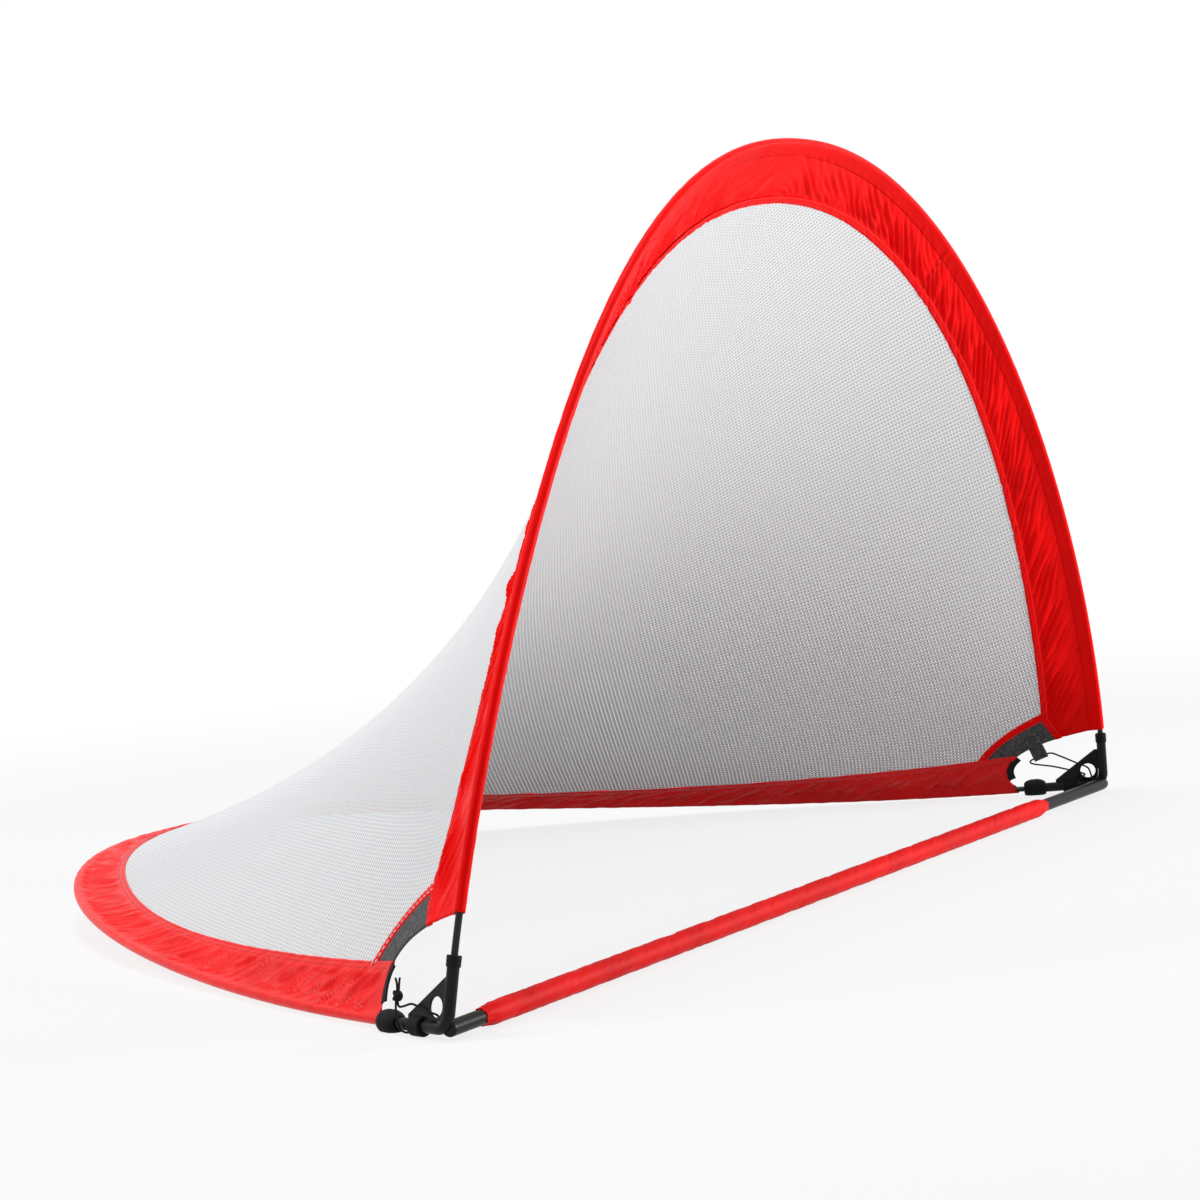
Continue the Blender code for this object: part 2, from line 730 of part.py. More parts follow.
def add_ground_cutter(name, target):
    """Takes away what would reach below the ground."""
    reach = GOAL_WIDTH
    return add_cutter(name, box_bmesh((-reach, -reach, -reach / 10), (reach, reach, 0)), target)


# Base bar

def add_base_bar(corners):
    for corner in corners:
        side, word = corner.side, corner.word
        end = corner.bend_centre[0] - side * CORNER_TUBE_RADIUS / 4
        path = [(side * GAP / 2, 0, BAR_HEIGHT), (end, 0, BAR_HEIGHT)]
        tube = hollow_tube(f"{word}_base_tube", path, BAR_RADIUS, BAR_WALL, BAR_SIDES, black_steel())
        bm, rings = sweep(corner.tube_path(6), CORNER_TUBE_RADIUS + GAP, TUBE_SIDES, (1, 0, 0))
        bm.faces.new(rings[0])
        bm.faces.new(rings[-1])
        add_cutter(f"{word}_base_tube_cope", bm, tube)
        inner = BAR_RADIUS - BAR_WALL - GAP
        low, high = side * WEIGHT_START, side * (CORNER_X - WEIGHT_END_GAP)
        ends = [(low, 0, BAR_HEIGHT), (high, 0, BAR_HEIGHT)]
        solid_tube(f"{word}_weight", ends, inner, TUBE_SIDES, bare_steel())
    half = SPIGOT_LENGTH / 2
    path = [(-half, 0, BAR_HEIGHT), (half, 0, BAR_HEIGHT)]
    solid_tube("centre_spigot", path, BAR_RADIUS - BAR_WALL - GAP, TUBE_SIDES, bare_steel())


def add_bar_padding():
    low = -CORNER_X + BARE_BAR[-1]
    high = CORNER_X - BARE_BAR[1]
    path = [(low + COVER_TAPER, 0, BAR_HEIGHT), (high - COVER_TAPER, 0, BAR_HEIGHT)]
    hollow_tube("bar_pad", path, PAD_RADIUS, PAD_WALL, BAR_SIDES, grey_foam())
    neck = BAR_RADIUS + GAP
    body = PAD_RADIUS + GAP
    outer = [(low, neck + COVER_WALL), (low + COVER_TAPER, COVER_RADIUS), (high - COVER_TAPER, COVER_RADIUS),
             (high, neck + COVER_WALL)]
    inner = [(high, neck), (high - COVER_TAPER, body), (low + COVER_TAPER, body), (low, neck)]
    cover = turned("bar_cover", (0, 0, BAR_HEIGHT), (1, 0, 0), outer + inner, COVER_SIDES, red_nylon())
    add_ground_cutter("bar_cover_flat", cover)


# Elastic cords

def smooth_route(points, spacing):
    """Points at an even spacing on a smooth curve through a cord's chosen points."""
    points = np.asarray(points, float)
    padded = np.concatenate([[2 * points[0] - points[1]], points, [2 * points[-1] - points[-2]]])
    fine = []
    for a, b, c, d in zip(padded, padded[1:], padded[2:], padded[3:]):
        for t in np.linspace(0, 1, 20, endpoint=False):
            fine.append(0.5 * (2 * b + (c - a) * t + (2 * a - 5 * b + 4 * c - d) * t**2
                               + (3 * b - 3 * c + d - a) * t**3))
    fine = np.array(fine + [points[-1]])
    length = np.linalg.norm(np.diff(fine, axis=0), axis=1).sum()
    return resample(fine, 0, 1, max(2, round(length / spacing)))


# Each route runs from tail to tail, in millimetres along the front leg, along the rear leg and inwards
# from the corner.
LEFT_CORD_ROUTE = (
    (50, 80, -12), (44, 81.5, -11), (37, 82.5, -10), (30, 82.5, -10), (23, 82.3, -10), (18.5, 79, -9.5),
    (20, 71, -8.5), (23, 60, -7), (20, 46, -5.5), (16.5, 34, -4.5), (15, 25, 0), (12, 27, 7), (8.5, 34, 12),
    (6, 44, 15), (4, 58, 15), (-1, 68, 11), (-7.6, 74, 5), (-8.9, 75, -1), (-5.5, 76, -7.6), (3, 78, -11),
    (13, 82.5, -11), (23, 85.7, -10), (30, 85.7, -10), (37, 85.7, -10), (44, 87, -10.5), (49, 89.5, -11),
)
LEFT_KNOT = ((30, 84.1, -10), (1, 0, 0))
RIGHT_CORD_ROUTE = (
    (-1, 50, 17), (1, 42, 16), (3, 34, 15.5), (3, 26, 15.5), (3, 19, 15.5), (9, 15.5, 13), (17, 18, 7),
    (21, 20, 0), (26, 24, -6), (34, 40, -7), (48, 62, -1), (57.5, 78, 6.2), (53, 93, 7), (48.5, 108, 7.8),
    (40, 106, 0), (30, 74, -8), (20, 42, -7), (17, 28, 0), (15, 34, 8), (9, 39.5, 12.5), (3, 34, 12.5),
    (3, 26, 12.5), (3, 20, 12.5), (0, 15.5, 13),
)
RIGHT_KNOT = ((3, 26, 14), (0, 1, 0))


def add_cord(corner, route, knot):
    """Elastic cord through the gusset's hole, and the knot round its two ends."""
    places = [corner.at(*(MILLIMETRE * value for value in point)) for point in route]
    points = smooth_route(places, CORD_STEP * 2 * CORD_RADIUS)
    add_curve_tube(f"{corner.word}_elastic_cord", points, CORD_RADIUS, black_elastic())
    print(f"{corner.word} cord length {np.linalg.norm(np.diff(points, axis=0), axis=1).sum():.3f} m, "
          f"least gap to itself {1000 * least_gap(points):.2f} mm")
    centre, axis = knot
    middle = corner.at(*(MILLIMETRE * value for value in centre))
    direction = unit(corner.at(*axis) - corner.point)
    half = KNOT_LENGTH / 2
    bore = 2 * CORD_RADIUS + 4 * GAP
    bulge = bore + KNOT_WALL
    shoulder = bore + KNOT_WALL / 2
    profile = [(-half, shoulder), (-half / 2, bulge), (half / 2, bulge), (half, shoulder), (half, bore),
               (-half, bore)]
    turned(f"{corner.word}_cord_knot", middle, direction, profile, KNOT_SIDES, black_elastic())


def least_gap(points):
    """Least gap between a cord's surface and itself, past the stretch that it bends along."""
    apart = np.linalg.norm(points[:, None] - points[None], axis=2)
    steps = np.abs(np.arange(len(points))[:, None] - np.arange(len(points))[None])
    return float(apart[steps > 3].min() - 2 * CORD_RADIUS)


def main():
    clear_scene()
    fabric = Fabric()
    corners = [Corner(1), Corner(-1)]
    add_net(fabric)
    add_sleeve(fabric, "front_sleeve", True)
    add_sleeve(fabric, "rear_sleeve", False)
    add_rods(True, "front")
    add_rods(False, "rear")
    for corner in corners:
        add_corner_fabric(fabric, corner.side, corner.word)
        add_band_patch(fabric, corner.side, corner.word)
        add_corner_tube(corner)
        add_gusset(corner)
        add_socket_collar(corner)
        add_floor_grip(corner)
        add_boot(corner)
    add_strap_tab(fabric, 1, "right")
    add_base_bar(corners)
    add_bar_padding()
    right, left = corners
    add_cord(right, RIGHT_CORD_ROUTE, RIGHT_KNOT)
    add_cord(left, LEFT_CORD_ROUTE, LEFT_KNOT)


main()
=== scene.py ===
"""Looks of the pop-up soccer goal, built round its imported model.

Metres, +Z up, +X along the goal line, +Y back into the net. The fabric is one tensioned surface between
the two arches, as in the model; sleeves, net, straps and bindings are cut from it by column share and by
distance from a rod, and their relief is added along its normals.
"""
import math

import bmesh
import bpy
import numpy as np
from mathutils import Matrix, Vector


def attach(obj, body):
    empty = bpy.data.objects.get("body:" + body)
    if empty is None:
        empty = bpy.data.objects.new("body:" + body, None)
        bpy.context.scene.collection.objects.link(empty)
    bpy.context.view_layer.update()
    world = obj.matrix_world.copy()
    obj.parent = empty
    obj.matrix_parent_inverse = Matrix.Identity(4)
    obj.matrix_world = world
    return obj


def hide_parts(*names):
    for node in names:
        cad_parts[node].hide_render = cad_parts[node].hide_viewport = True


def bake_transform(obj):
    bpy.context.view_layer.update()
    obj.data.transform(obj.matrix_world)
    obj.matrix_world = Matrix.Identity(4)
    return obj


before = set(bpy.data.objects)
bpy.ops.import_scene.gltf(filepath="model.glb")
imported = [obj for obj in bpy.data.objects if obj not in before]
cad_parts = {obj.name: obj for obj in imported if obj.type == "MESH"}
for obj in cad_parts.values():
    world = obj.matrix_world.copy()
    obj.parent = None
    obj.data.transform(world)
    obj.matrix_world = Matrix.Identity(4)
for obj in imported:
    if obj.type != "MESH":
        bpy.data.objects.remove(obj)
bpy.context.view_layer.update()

# The arches and the fabric, in the model's sizes
GOAL_WIDTH = 1.83
FRONT_HEIGHT = 0.967
REAR_DEPTH = 1.105
FRONT_LEAN = math.radians(94.9)
FRONT_BOW = 0.067
REAR_BOW = 0.0796
FRONT_FULLNESS = (2.165, 1.393)
REAR_FULLNESS = (2.236, 1.04)
GAP = 0.0003
BAR_RADIUS = 0.009
COVER_RADIUS = 0.0131
COVER_LEFT_GAP = 0.065
COVER_RIGHT_GAP = 0.235
COVER_TAPER = 0.028
BAR_TUCK = 0.02
BAR_END_GAP = 0.0015
COVER_THICKNESS = 0.0008
BAR_HEIGHT = 0.0126
ROD_RADIUS = 0.004
SLEEVE_REACH = 0.0059
SLEEVE_RADIUS = 0.0087
REAR_SLOPE = 2 * math.sqrt(REAR_BOW * (BAR_HEIGHT - SLEEVE_RADIUS - GAP))
CORNER_X = GOAL_WIDTH / 2 + 0.0025
FRONT_SOCKET = 0.077
REAR_SOCKET = 0.100
ROD_STOP = 0.021
FRONT_STARTS = (0.088, 0.123)
REAR_STARTS = (0.125, 0.117)
SIDE_PULL = (0.038, 0.050, 0.010)
NET_TENSION = (1.5, 2.0)
BAND_SHARE = 0.34
# Band widths of the front and the rear sleeve at column shares from the right
FRONT_BAND = ((0, 0.14, 0.25, 0.33, 0.45, 0.6, 1), (0.090, 0.089, 0.079, 0.076, 0.080, 0.091, 0.091))
REAR_BAND = ((0, 0.10, 0.25, 0.40, 0.54, 0.64, 0.76, 0.88, 1),
             (0.072, 0.065, 0.056, 0.062, 0.080, 0.080, 0.059, 0.061, 0.072))
STRAP_WIDTH = 0.038
STRAP_THICKNESS = 0.0015
BINDING_WIDTH = 0.008
BINDING_LAP = 0.003
BINDING_THICKNESS = 0.0024
BINDING_CROWN = 0.0006
TUBE_RADIUS = 0.007
BEND_RADIUS = 0.018
CORD_RADIUS = 0.0013
MILLIMETRE = 0.001
GUSSET_FRONT = 0.056
GUSSET_REAR = 0.073
GUSSET_TIP = 0.004
GUSSET_HOLE = 0.0115
GUSSET_HALF = 0.0015
GUSSET_RIM = 0.0005
COLLAR_WALL = 0.0014
COLLAR_HEIGHT = 0.011
GRIP_START = 0.042
GRIP_END = 0.062
GRIP_RADIUS = 0.0118
BOOT_START = 0.089
BOOT_END = 0.122
BOOT_RADIUS = 0.0145
BOOT_SWEEP = math.radians(64)
WELD_OFFSET = 0.0024
WELD_START = 0.026
WELD_ENDS = (("front", 0.055), ("rear", 0.039))
WELD_RADIUS = 0.0011
WELD_RIPPLE = 0.00018
WELD_PITCH = 0.0016
TAB_HALF = 0.011
TAB_REACH = 0.020
TAB_LOOP = 0.0034
TAB_THICKNESS = 0.0011
TAB_FLAT = 0.0015
TAPE_REACH = 0.010
TAPE_THICKNESS = 0.0020
TAPE_CROWN = 0.0008
ROD_PLAY = 0.0005

# Where cloth is cut into a front and a rear piece: a plane through both corners
PART_PLANE = np.array([0.0, 0.7071, -0.7071])
PART_OFFSET = 0.022

# The knit
KNIT_PITCH = (0.0062, 0.0052)
KNIT_ANGLE = math.radians(46)
RIB_HALF = 0.40
TIE_HALF = 0.32
KNIT_RELIEF = 0.0009
HEM_OVERLAP = 0.006
NET_GAP = 0.002
LAYOUT_MISS = 0.002

# Steps of the fabric's finer grid, and those over which its tangents are taken
FINE_STEPS = 8
SHARE_STEP = 0.003
LENGTH_STEP = 0.004


# Meshes

def unit(vector):
    vector = np.asarray(vector, float)
    return vector / np.linalg.norm(vector, axis=-1, keepdims=True)


def flat_cross(a, b):
    """Signed area between two flat directions."""
    return a[..., 0] * b[..., 1] - a[..., 1] * b[..., 0]


def run(path):
    """Distance along a path at each of its points."""
    return np.concatenate([[0], np.cumsum(np.linalg.norm(np.diff(path, axis=0), axis=1))])


def read_path(path, along, wanted):
    """Points at wanted distances on the straight lines between a path's points at distances along."""
    return np.stack([np.interp(wanted, along, path[:, i]) for i in range(3)], 1)


def read_grid(values, row, column):
    """Values of a grid at fractional rows and columns: the four round each place, weighted by nearness."""
    top = np.minimum(row.astype(int), values.shape[0] - 2)
    left = np.minimum(column.astype(int), values.shape[1] - 2)
    down, across = row - top, column - left
    if values.ndim > 2:
        down, across = down[..., None], across[..., None]
    upper = (1 - across) * values[top, left] + across * values[top, left + 1]
    lower = (1 - across) * values[top + 1, left] + across * values[top + 1, left + 1]
    return (1 - down) * upper + down * lower


def add_piece(name, points, faces, stuff, uv=None, smooth=True):
    """One mesh piece from points and faces, with a UV for each point in metres of its own surface."""
    mesh = bpy.data.meshes.new(name)
    mesh.from_pydata(np.asarray(points, float).reshape(-1, 3), [], faces)
    if uv is not None:
        layer = mesh.uv_layers.new(name="UVMap")
        corner = np.empty(len(mesh.loops), np.int32)
        mesh.loops.foreach_get("vertex_index", corner)
        layer.data.foreach_set("uv", np.asarray(uv, np.float32).reshape(-1, 2)[corner].ravel())
    if smooth:
        mesh.shade_smooth()
    mesh.materials.append(stuff)
    piece = bpy.data.objects.new(name, mesh)
    bpy.context.scene.collection.objects.link(piece)
    return piece


def dress(piece, body, slot, *nodes):
    """Puts a piece in the place of the model's nodes, on its body; the slot is not used."""
    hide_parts(*nodes)
    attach(piece, body)


def grid_faces(rows, columns, around=False, closed=False):
    """Quads of a grid of points; around joins each row's ends, closed joins the last row to the first."""
    index = np.arange(rows * columns).reshape(rows, columns)
    if closed:
        index = np.concatenate([index, index[:1]])
    if around:
        index = np.concatenate([index, index[:, :1]], axis=1)
    return np.stack([index[:-1, :-1], index[:-1, 1:], index[1:, 1:], index[1:, :-1]], -1).reshape(-1, 4)


def surface_uv(first, second):
    """UV of a grid from its rows' and its columns' distances, in metres."""
    return np.stack(np.broadcast_arrays(first[:, None], second[None]), -1)


def thicken(piece, thickness):
    """Gives a sheet its wall, half on each side."""
    solid = piece.modifiers.new("thickness", "SOLIDIFY")
    solid.thickness = thickness
    solid.offset = 0
    solid.use_quality_normals = True
    return piece


def outward(piece):
    """Turns a closed mesh's faces outwards."""
    mesh = bmesh.new()
    mesh.from_mesh(piece.data)
    bmesh.ops.recalc_face_normals(mesh, faces=mesh.faces)
    mesh.to_mesh(piece.data)
    mesh.free()
    return piece


def circles(side, lift, turn):
    """Unit circle in each pair of cross directions: cos turn along side + sin turn along lift."""
    return side[..., None, :] * np.cos(turn)[:, None] + lift[..., None, :] * np.sin(turn)[:, None]


def cross_directions(path):
    """Two directions across a path, carried from point to point without twist."""
    tangents = unit(np.gradient(path, axis=0))
    side = np.cross(tangents[0], (0, 0, 1))
    if np.linalg.norm(side) < 0.01:
        side = np.cross(tangents[0], (0, 1, 0))
    sides = [unit(side)]
    for tangent in tangents[1:]:
        sides.append(unit(sides[-1] - tangent * np.dot(sides[-1], tangent)))
    sides = np.array(sides)
    return sides, np.cross(sides, tangents)


def tube(name, path, radii, sides, stuff):
    """Tube of given radii along a path: centre + radius (cos turn along side + sin turn along lift).

    Each end is closed by fans to a point in its middle.
    """
    path = np.asarray(path, float)
    radii = np.broadcast_to(radii, len(path)).astype(float)
    turn = np.linspace(0, 2 * math.pi, sides, endpoint=False)
    points = path[:, None] + radii[:, None, None] * circles(*cross_directions(path), turn)
    along = run(path)
    uv = surface_uv(along, turn * radii.mean())
    count = len(path) * sides
    last = count - sides
    faces = [tuple(face) for face in grid_faces(len(path), sides, True)[:, ::-1].tolist()]
    faces += [(count, (i + 1) % sides, i) for i in range(sides)]
    faces += [(count + 1, last + i, last + (i + 1) % sides) for i in range(sides)]
    points = np.concatenate([points.reshape(-1, 3), path[:1], path[-1:]])
    uv = np.concatenate([uv.reshape(-1, 2), [[0, 0]], [[along[-1], 0]]])
    return outward(add_piece(name, points, faces, stuff, uv))


def ring_tube(name, path, radius, sides, stuff):
    """Tube along a closed path: centre + radius (cos turn along side + sin turn along lift)."""
    tangents = unit(np.roll(path, -1, axis=0) - np.roll(path, 1, axis=0))
    side = unit(np.cross(tangents, path - path.mean(axis=0)))
    turn = np.linspace(0, 2 * math.pi, sides, endpoint=False)
    points = path[:, None] + radius * circles(side, np.cross(side, tangents), turn)
    faces = grid_faces(len(path), sides, True, True)
    return outward(add_piece(name, points, faces, stuff, surface_uv(run(path), turn * radius)))


def turned(name, start, direction, profile, sides, stuff):
    """Closed profile of (distance, radius) pairs turned about an axis.

    A point is start + distance along the axis + radius (cos turn across + sin turn along lift).
    """
    axis = unit(direction)
    across = unit(np.cross(axis, (0, 0, 1) if abs(axis[2]) < 0.9 else (0, 1, 0)))
    distance, radius = np.asarray(profile, float).T
    turn = (np.arange(sides) + 0.5) * 2 * math.pi / sides
    ring = circles(across, np.cross(axis, across), turn)
    points = np.asarray(start) + axis * distance[:, None, None] + radius[:, None, None] * ring
    faces = grid_faces(len(distance), sides, True, True)
    return outward(add_piece(name, points, faces, stuff, surface_uv(distance, turn * radius.max())))


def rounded(points, radius, steps=4):
    """Closed profile whose corners have each become a quadratic curve between their two sides."""
    points = np.asarray(points, float)
    before, after = np.roll(points, 1, axis=0), np.roll(points, -1, axis=0)
    out = []
    for point, low, high in zip(points, before, after):
        reach = min(radius, 0.45 * np.linalg.norm(low - point), 0.45 * np.linalg.norm(high - point))
        first, last = point + unit(low - point) * reach, point + unit(high - point) * reach
        share = np.linspace(0, 1, steps)[:, None]
        out.append((1 - share) ** 2 * first + 2 * share * (1 - share) * point + share**2 * last)
    return np.concatenate(out)


# Finishes

class Finish:
    """A Principled material under construction, with its texture nodes."""

    def __init__(self, name, colour, roughness, metallic=0.0, **sockets):
        self.material = bpy.data.materials.new(name)
        self.material.use_nodes = True
        self.tree = self.material.node_tree
        self.shader = self.tree.nodes["Principled BSDF"]
        self.shader.inputs["Base Color"].default_value = (*colour, 1)
        self.shader.inputs["Roughness"].default_value = roughness
        self.shader.inputs["Metallic"].default_value = metallic
        for socket, value in sockets.items():
            self.shader.inputs[socket.replace("_", " ")].default_value = value
        self.colour = colour
        self.place = self.tree.nodes.new("ShaderNodeTexCoord")
        self.height = None

    def add(self, kind, **values):
        node = self.tree.nodes.new(kind)
        for name, value in values.items():
            if name in node.inputs:
                node.inputs[name].default_value = value
            else:
                setattr(node, name, value)
        return node

    def link(self, output, target):
        self.tree.links.new(output, target)

    def where(self, source, scale=(1, 1, 1), turn=0.0):
        node = self.add("ShaderNodeMapping", Scale=scale, Rotation=(0, 0, turn))
        self.link(self.place.outputs[source], node.inputs["Vector"])
        return node.outputs["Vector"]

    def noise(self, scale, detail=3.0, stretch=(1, 1, 1)):
        node = self.add("ShaderNodeTexNoise", Scale=scale, Detail=detail)
        self.link(self.where("Object", stretch), node.inputs["Vector"])
        return node.outputs["Fac"]

    def bands(self, pitch, direction, turn=0.0):
        """Sine bands with one crest in each pitch, in metres of the surface."""
        node = self.add("ShaderNodeTexWave", Scale=2 * math.pi / (20 * pitch), bands_direction=direction)
        self.link(self.where("UV", turn=turn), node.inputs["Vector"])
        return node.outputs["Fac"]

    def vary(self, value, low, high, other):
        """Base colour from another tone to its own as a texture goes from low to high."""
        ramp = self.add("ShaderNodeValToRGB")
        ramp.color_ramp.elements[0].position = low
        ramp.color_ramp.elements[1].position = high
        ramp.color_ramp.elements[0].color = (*other, 1)
        ramp.color_ramp.elements[1].color = (*self.colour, 1)
        self.link(value, ramp.inputs["Fac"])
        self.link(ramp.outputs["Color"], self.shader.inputs["Base Color"])

    def shine(self, value, low, high):
        """Roughness from low to high as a texture goes from 0 to 1."""
        node = self.add("ShaderNodeMapRange")
        node.inputs["To Min"].default_value = low
        node.inputs["To Max"].default_value = high
        self.link(value, node.inputs["Value"])
        self.link(node.outputs["Result"], self.shader.inputs["Roughness"])

    def bump(self, value, distance, strength):
        """Relief of a texture, added to what is there already."""
        node = self.add("ShaderNodeBump", Distance=distance, Strength=strength)
        self.link(value, node.inputs["Height"])
        if self.height:
            self.link(self.height, node.inputs["Normal"])
        self.height = node.outputs["Normal"]
        self.link(self.height, self.shader.inputs["Normal"])

    def weave(self, pitch, depth):
        """Relief of a plain weave: bands both ways, with a crest for each thread."""
        for direction in "XY":
            self.bump(self.bands(pitch, direction), depth, 0.5)


def sleeve_nylon(name, colour, darker, roughness, shine, specular):
    """Woven sleeve cloth: darker in patches and unevenly shiny, its threads and small creases in relief."""
    made = Finish(name, colour, roughness, Specular_IOR_Level=specular)
    made.vary(made.noise(9.0, 4.0), 0.30, 0.62, darker)
    made.shine(made.noise(40.0), *shine)
    made.weave(0.0009, 0.00006)
    made.bump(made.noise(120.0, 3.0), 0.0003, 0.5)
    return made.material


def red_nylon():
    return sleeve_nylon("red_nylon", (0.95, 0.0006, 0.0006), (0.84, 0.0005, 0.0005), 0.46, (0.34, 0.52), 0.07)


# Painted light: a lit copy of red_nylon for the rear sleeve, its base colour a little pinker and its sheen
# stronger, standing in for the brighter light on that band.
def lit_nylon():
    return sleeve_nylon("lit_nylon", (0.95, 0.0012, 0.0012), (0.84, 0.0008, 0.0008), 0.36, (0.28, 0.46), 0.25)


def bar_nylon():
    made = Finish("bar_nylon", (0.80, 0.0012, 0.0012), 0.5, Specular_IOR_Level=0.12)
    made.vary(made.noise(14.0, 4.0), 0.3, 0.65, (0.62, 0.0010, 0.0010))
    made.weave(0.0010, 0.00008)
    made.bump(made.noise(90.0, 3.0), 0.0004, 0.5)
    return made.material


def white_knit():
    made = Finish("white_knit", (0.82, 0.82, 0.83), 0.65, Specular_IOR_Level=0.25, Sheen_Weight=0.1)
    # Painted shade: the base colour falls to grey in bands along the knit's rows, standing in for the shade
    # between the threads.
    made.vary(made.bands(KNIT_PITCH[0], "Y"), 0.15, 0.75, (0.50, 0.50, 0.51))
    made.bump(made.noise(900.0, 2.0), 0.0002, 0.6)
    return made.material


def black_webbing():
    made = Finish("black_webbing", (0.105, 0.105, 0.107), 0.85, Specular_IOR_Level=0.2, Sheen_Weight=0.1)
    made.vary(made.noise(260.0, 3.0), 0.35, 0.65, (0.035, 0.035, 0.036))
    made.bump(made.bands(0.0024, "X", turn=0.8), 0.0003, 0.7)
    made.bump(made.bands(0.0014, "Y"), 0.0002, 0.6)
    return made.material


def black_steel():
    made = Finish("black_steel", (0.006, 0.006, 0.006), 0.34, Specular_IOR_Level=0.15)
    made.vary(made.noise(30.0, 4.0), 0.35, 0.7, (0.005, 0.005, 0.005))
    made.shine(made.noise(70.0, 4.0), 0.26, 0.48)
    made.bump(made.noise(420.0, 3.0), 0.00012, 0.5)
    return made.material


def black_rubber():
    made = Finish("black_rubber", (0.005, 0.005, 0.005), 0.7, Specular_IOR_Level=0.12)
    made.vary(made.noise(50.0, 4.0), 0.3, 0.7, (0.009, 0.009, 0.009))
    made.shine(made.noise(80.0, 3.0), 0.55, 0.8)
    made.bump(made.noise(500.0, 3.0), 0.0002, 0.5)
    return made.material


def black_rod():
    made = Finish("black_rod", (0.007, 0.007, 0.007), 0.3, Specular_IOR_Level=0.25)
    made.shine(made.noise(90.0, 3.0, stretch=(1, 1, 0.1)), 0.22, 0.42)
    made.bump(made.bands(0.0007, "Y"), 0.00003, 0.4)
    return made.material


def black_elastic():
    made = Finish("black_elastic", (0.008, 0.008, 0.008), 0.8, Specular_IOR_Level=0.15, Sheen_Weight=0.05)
    made.bump(made.bands(0.0011, "X", turn=0.7), 0.0002, 0.8)
    made.bump(made.bands(0.0011, "X", turn=-0.7), 0.0002, 0.8)
    return made.material


def bare_steel():
    made = Finish("bare_steel", (0.45, 0.45, 0.46), 0.34, 1.0)
    made.shine(made.noise(60.0, 3.0, stretch=(0.05, 1, 1)), 0.25, 0.45)
    return made.material


def grey_foam():
    made = Finish("grey_foam", (0.12, 0.12, 0.12), 0.95)
    made.bump(made.noise(700.0, 2.0), 0.0004, 0.8)
    return made.material


def sewing_thread(name, colour, roughness):
    made = Finish(name, colour, roughness, Sheen_Weight=0.2)
    made.bump(made.noise(1500.0, 2.0), 0.0001, 0.5)
    return made.material


def white_thread():
    return sewing_thread("white_thread", (0.78, 0.77, 0.75), 0.7)


def red_thread():
    return sewing_thread("red_thread", (0.40, 0.002, 0.002), 0.6)


MAKERS = (red_nylon, lit_nylon, bar_nylon, white_knit, black_webbing, black_steel, black_rubber, black_rod,
          black_elastic, bare_steel, grey_foam, white_thread, red_thread)
FINISHES = {make.__name__: make() for make in MAKERS}


# The arches

def arch(height, fullness, angle):
    """Superellipse: half width times |cos|^(2/flat) sideways, height times |sin|^(2/pointed) of rise."""
    flat, pointed = fullness
    across = np.sign(np.cos(angle)) * np.abs(np.cos(angle)) ** (2 / flat) * GOAL_WIDTH / 2
    return across, height * np.abs(np.sin(angle)) ** (2 / pointed)


def front_arch(angle):
    """Front rod: its rise leans by FRONT_LEAN from the ground, and it bows back with the rise's square."""
    across, rise = arch(FRONT_HEIGHT, FRONT_FULLNESS, angle)
    back = rise * math.cos(FRONT_LEAN) + FRONT_BOW * rise**2
    return np.stack([across, back, BAR_HEIGHT + rise * math.sin(FRONT_LEAN)], -1)


def rear_arch(angle):
    """Rear rod: it falls by REAR_SLOPE times its reach back, and curls up with that reach's square."""
    across, rise = arch(REAR_DEPTH, REAR_FULLNESS, angle)
    return np.stack([across, rise, BAR_HEIGHT - REAR_SLOPE * rise + REAR_BOW * rise**2], -1)


def front_angle(rise):
    """Angle on the front rod at a given rise."""
    return math.asin((rise / FRONT_HEIGHT) ** (FRONT_FULLNESS[1] / 2))


def rear_angle(rise):
    """Angle on the rear rod at a given reach back."""
    return math.asin((rise / REAR_DEPTH) ** (REAR_FULLNESS[1] / 2))


# The fabric

def tensioned_grid(columns=97, rows=33, rounds=2500):
    """Surface between the two rods: its edges held, each inner point the weighted mean of its neighbours."""
    right_foot, left_foot = (front_angle(rise) for rise in FRONT_STARTS)
    front = front_arch(np.linspace(right_foot, math.pi - left_foot, columns))
    right_foot, left_foot = (rear_angle(rise) for rise in REAR_STARTS)
    rear = rear_arch(np.linspace(right_foot, math.pi - left_foot, columns))
    share = np.linspace(0, 1, rows)[:, None, None]
    grid = (1 - share) * front[None] + share * rear[None]
    for column, side in ((0, 1), (-1, -1)):
        near, far = grid[0, column], grid[-1, column]
        turn = (near + far) / 2 + 2 * np.array([-side * SIDE_PULL[0], SIDE_PULL[1], SIDE_PULL[2]])
        bend = share[:, 0]
        grid[:, column] = (1 - bend) ** 2 * near + 2 * bend * (1 - bend) * turn + bend**2 * far
    pull = (NET_TENSION[0] + NET_TENSION[1] * share**2)[1:-1]
    for _ in range(rounds):
        sideways = grid[1:-1, :-2] + grid[1:-1, 2:]
        endways = grid[:-2, 1:-1] + grid[2:, 1:-1]
        grid[1:-1, 1:-1] = (pull * sideways + endways) / (2 * pull + 2)
    return grid


def refined(values, factor):
    """Catmull-Rom values between those along the first axis, factor steps to each."""
    padded = np.concatenate([2 * values[:1] - values[1:2], values, 2 * values[-1:] - values[-2:-1]])
    a, b, c, d = (padded[i:len(padded) - 3 + i, None] for i in range(4))
    t = np.arange(factor).reshape(1, factor, *[1] * (values.ndim - 1)) / factor
    fine = 0.5 * (2 * b + (c - a) * t + (2 * a - 5 * b + 4 * c - d) * t**2 + (3 * b - 3 * c + d - a) * t**3)
    return np.concatenate([fine.reshape(-1, *values.shape[1:]), values[-1:]])


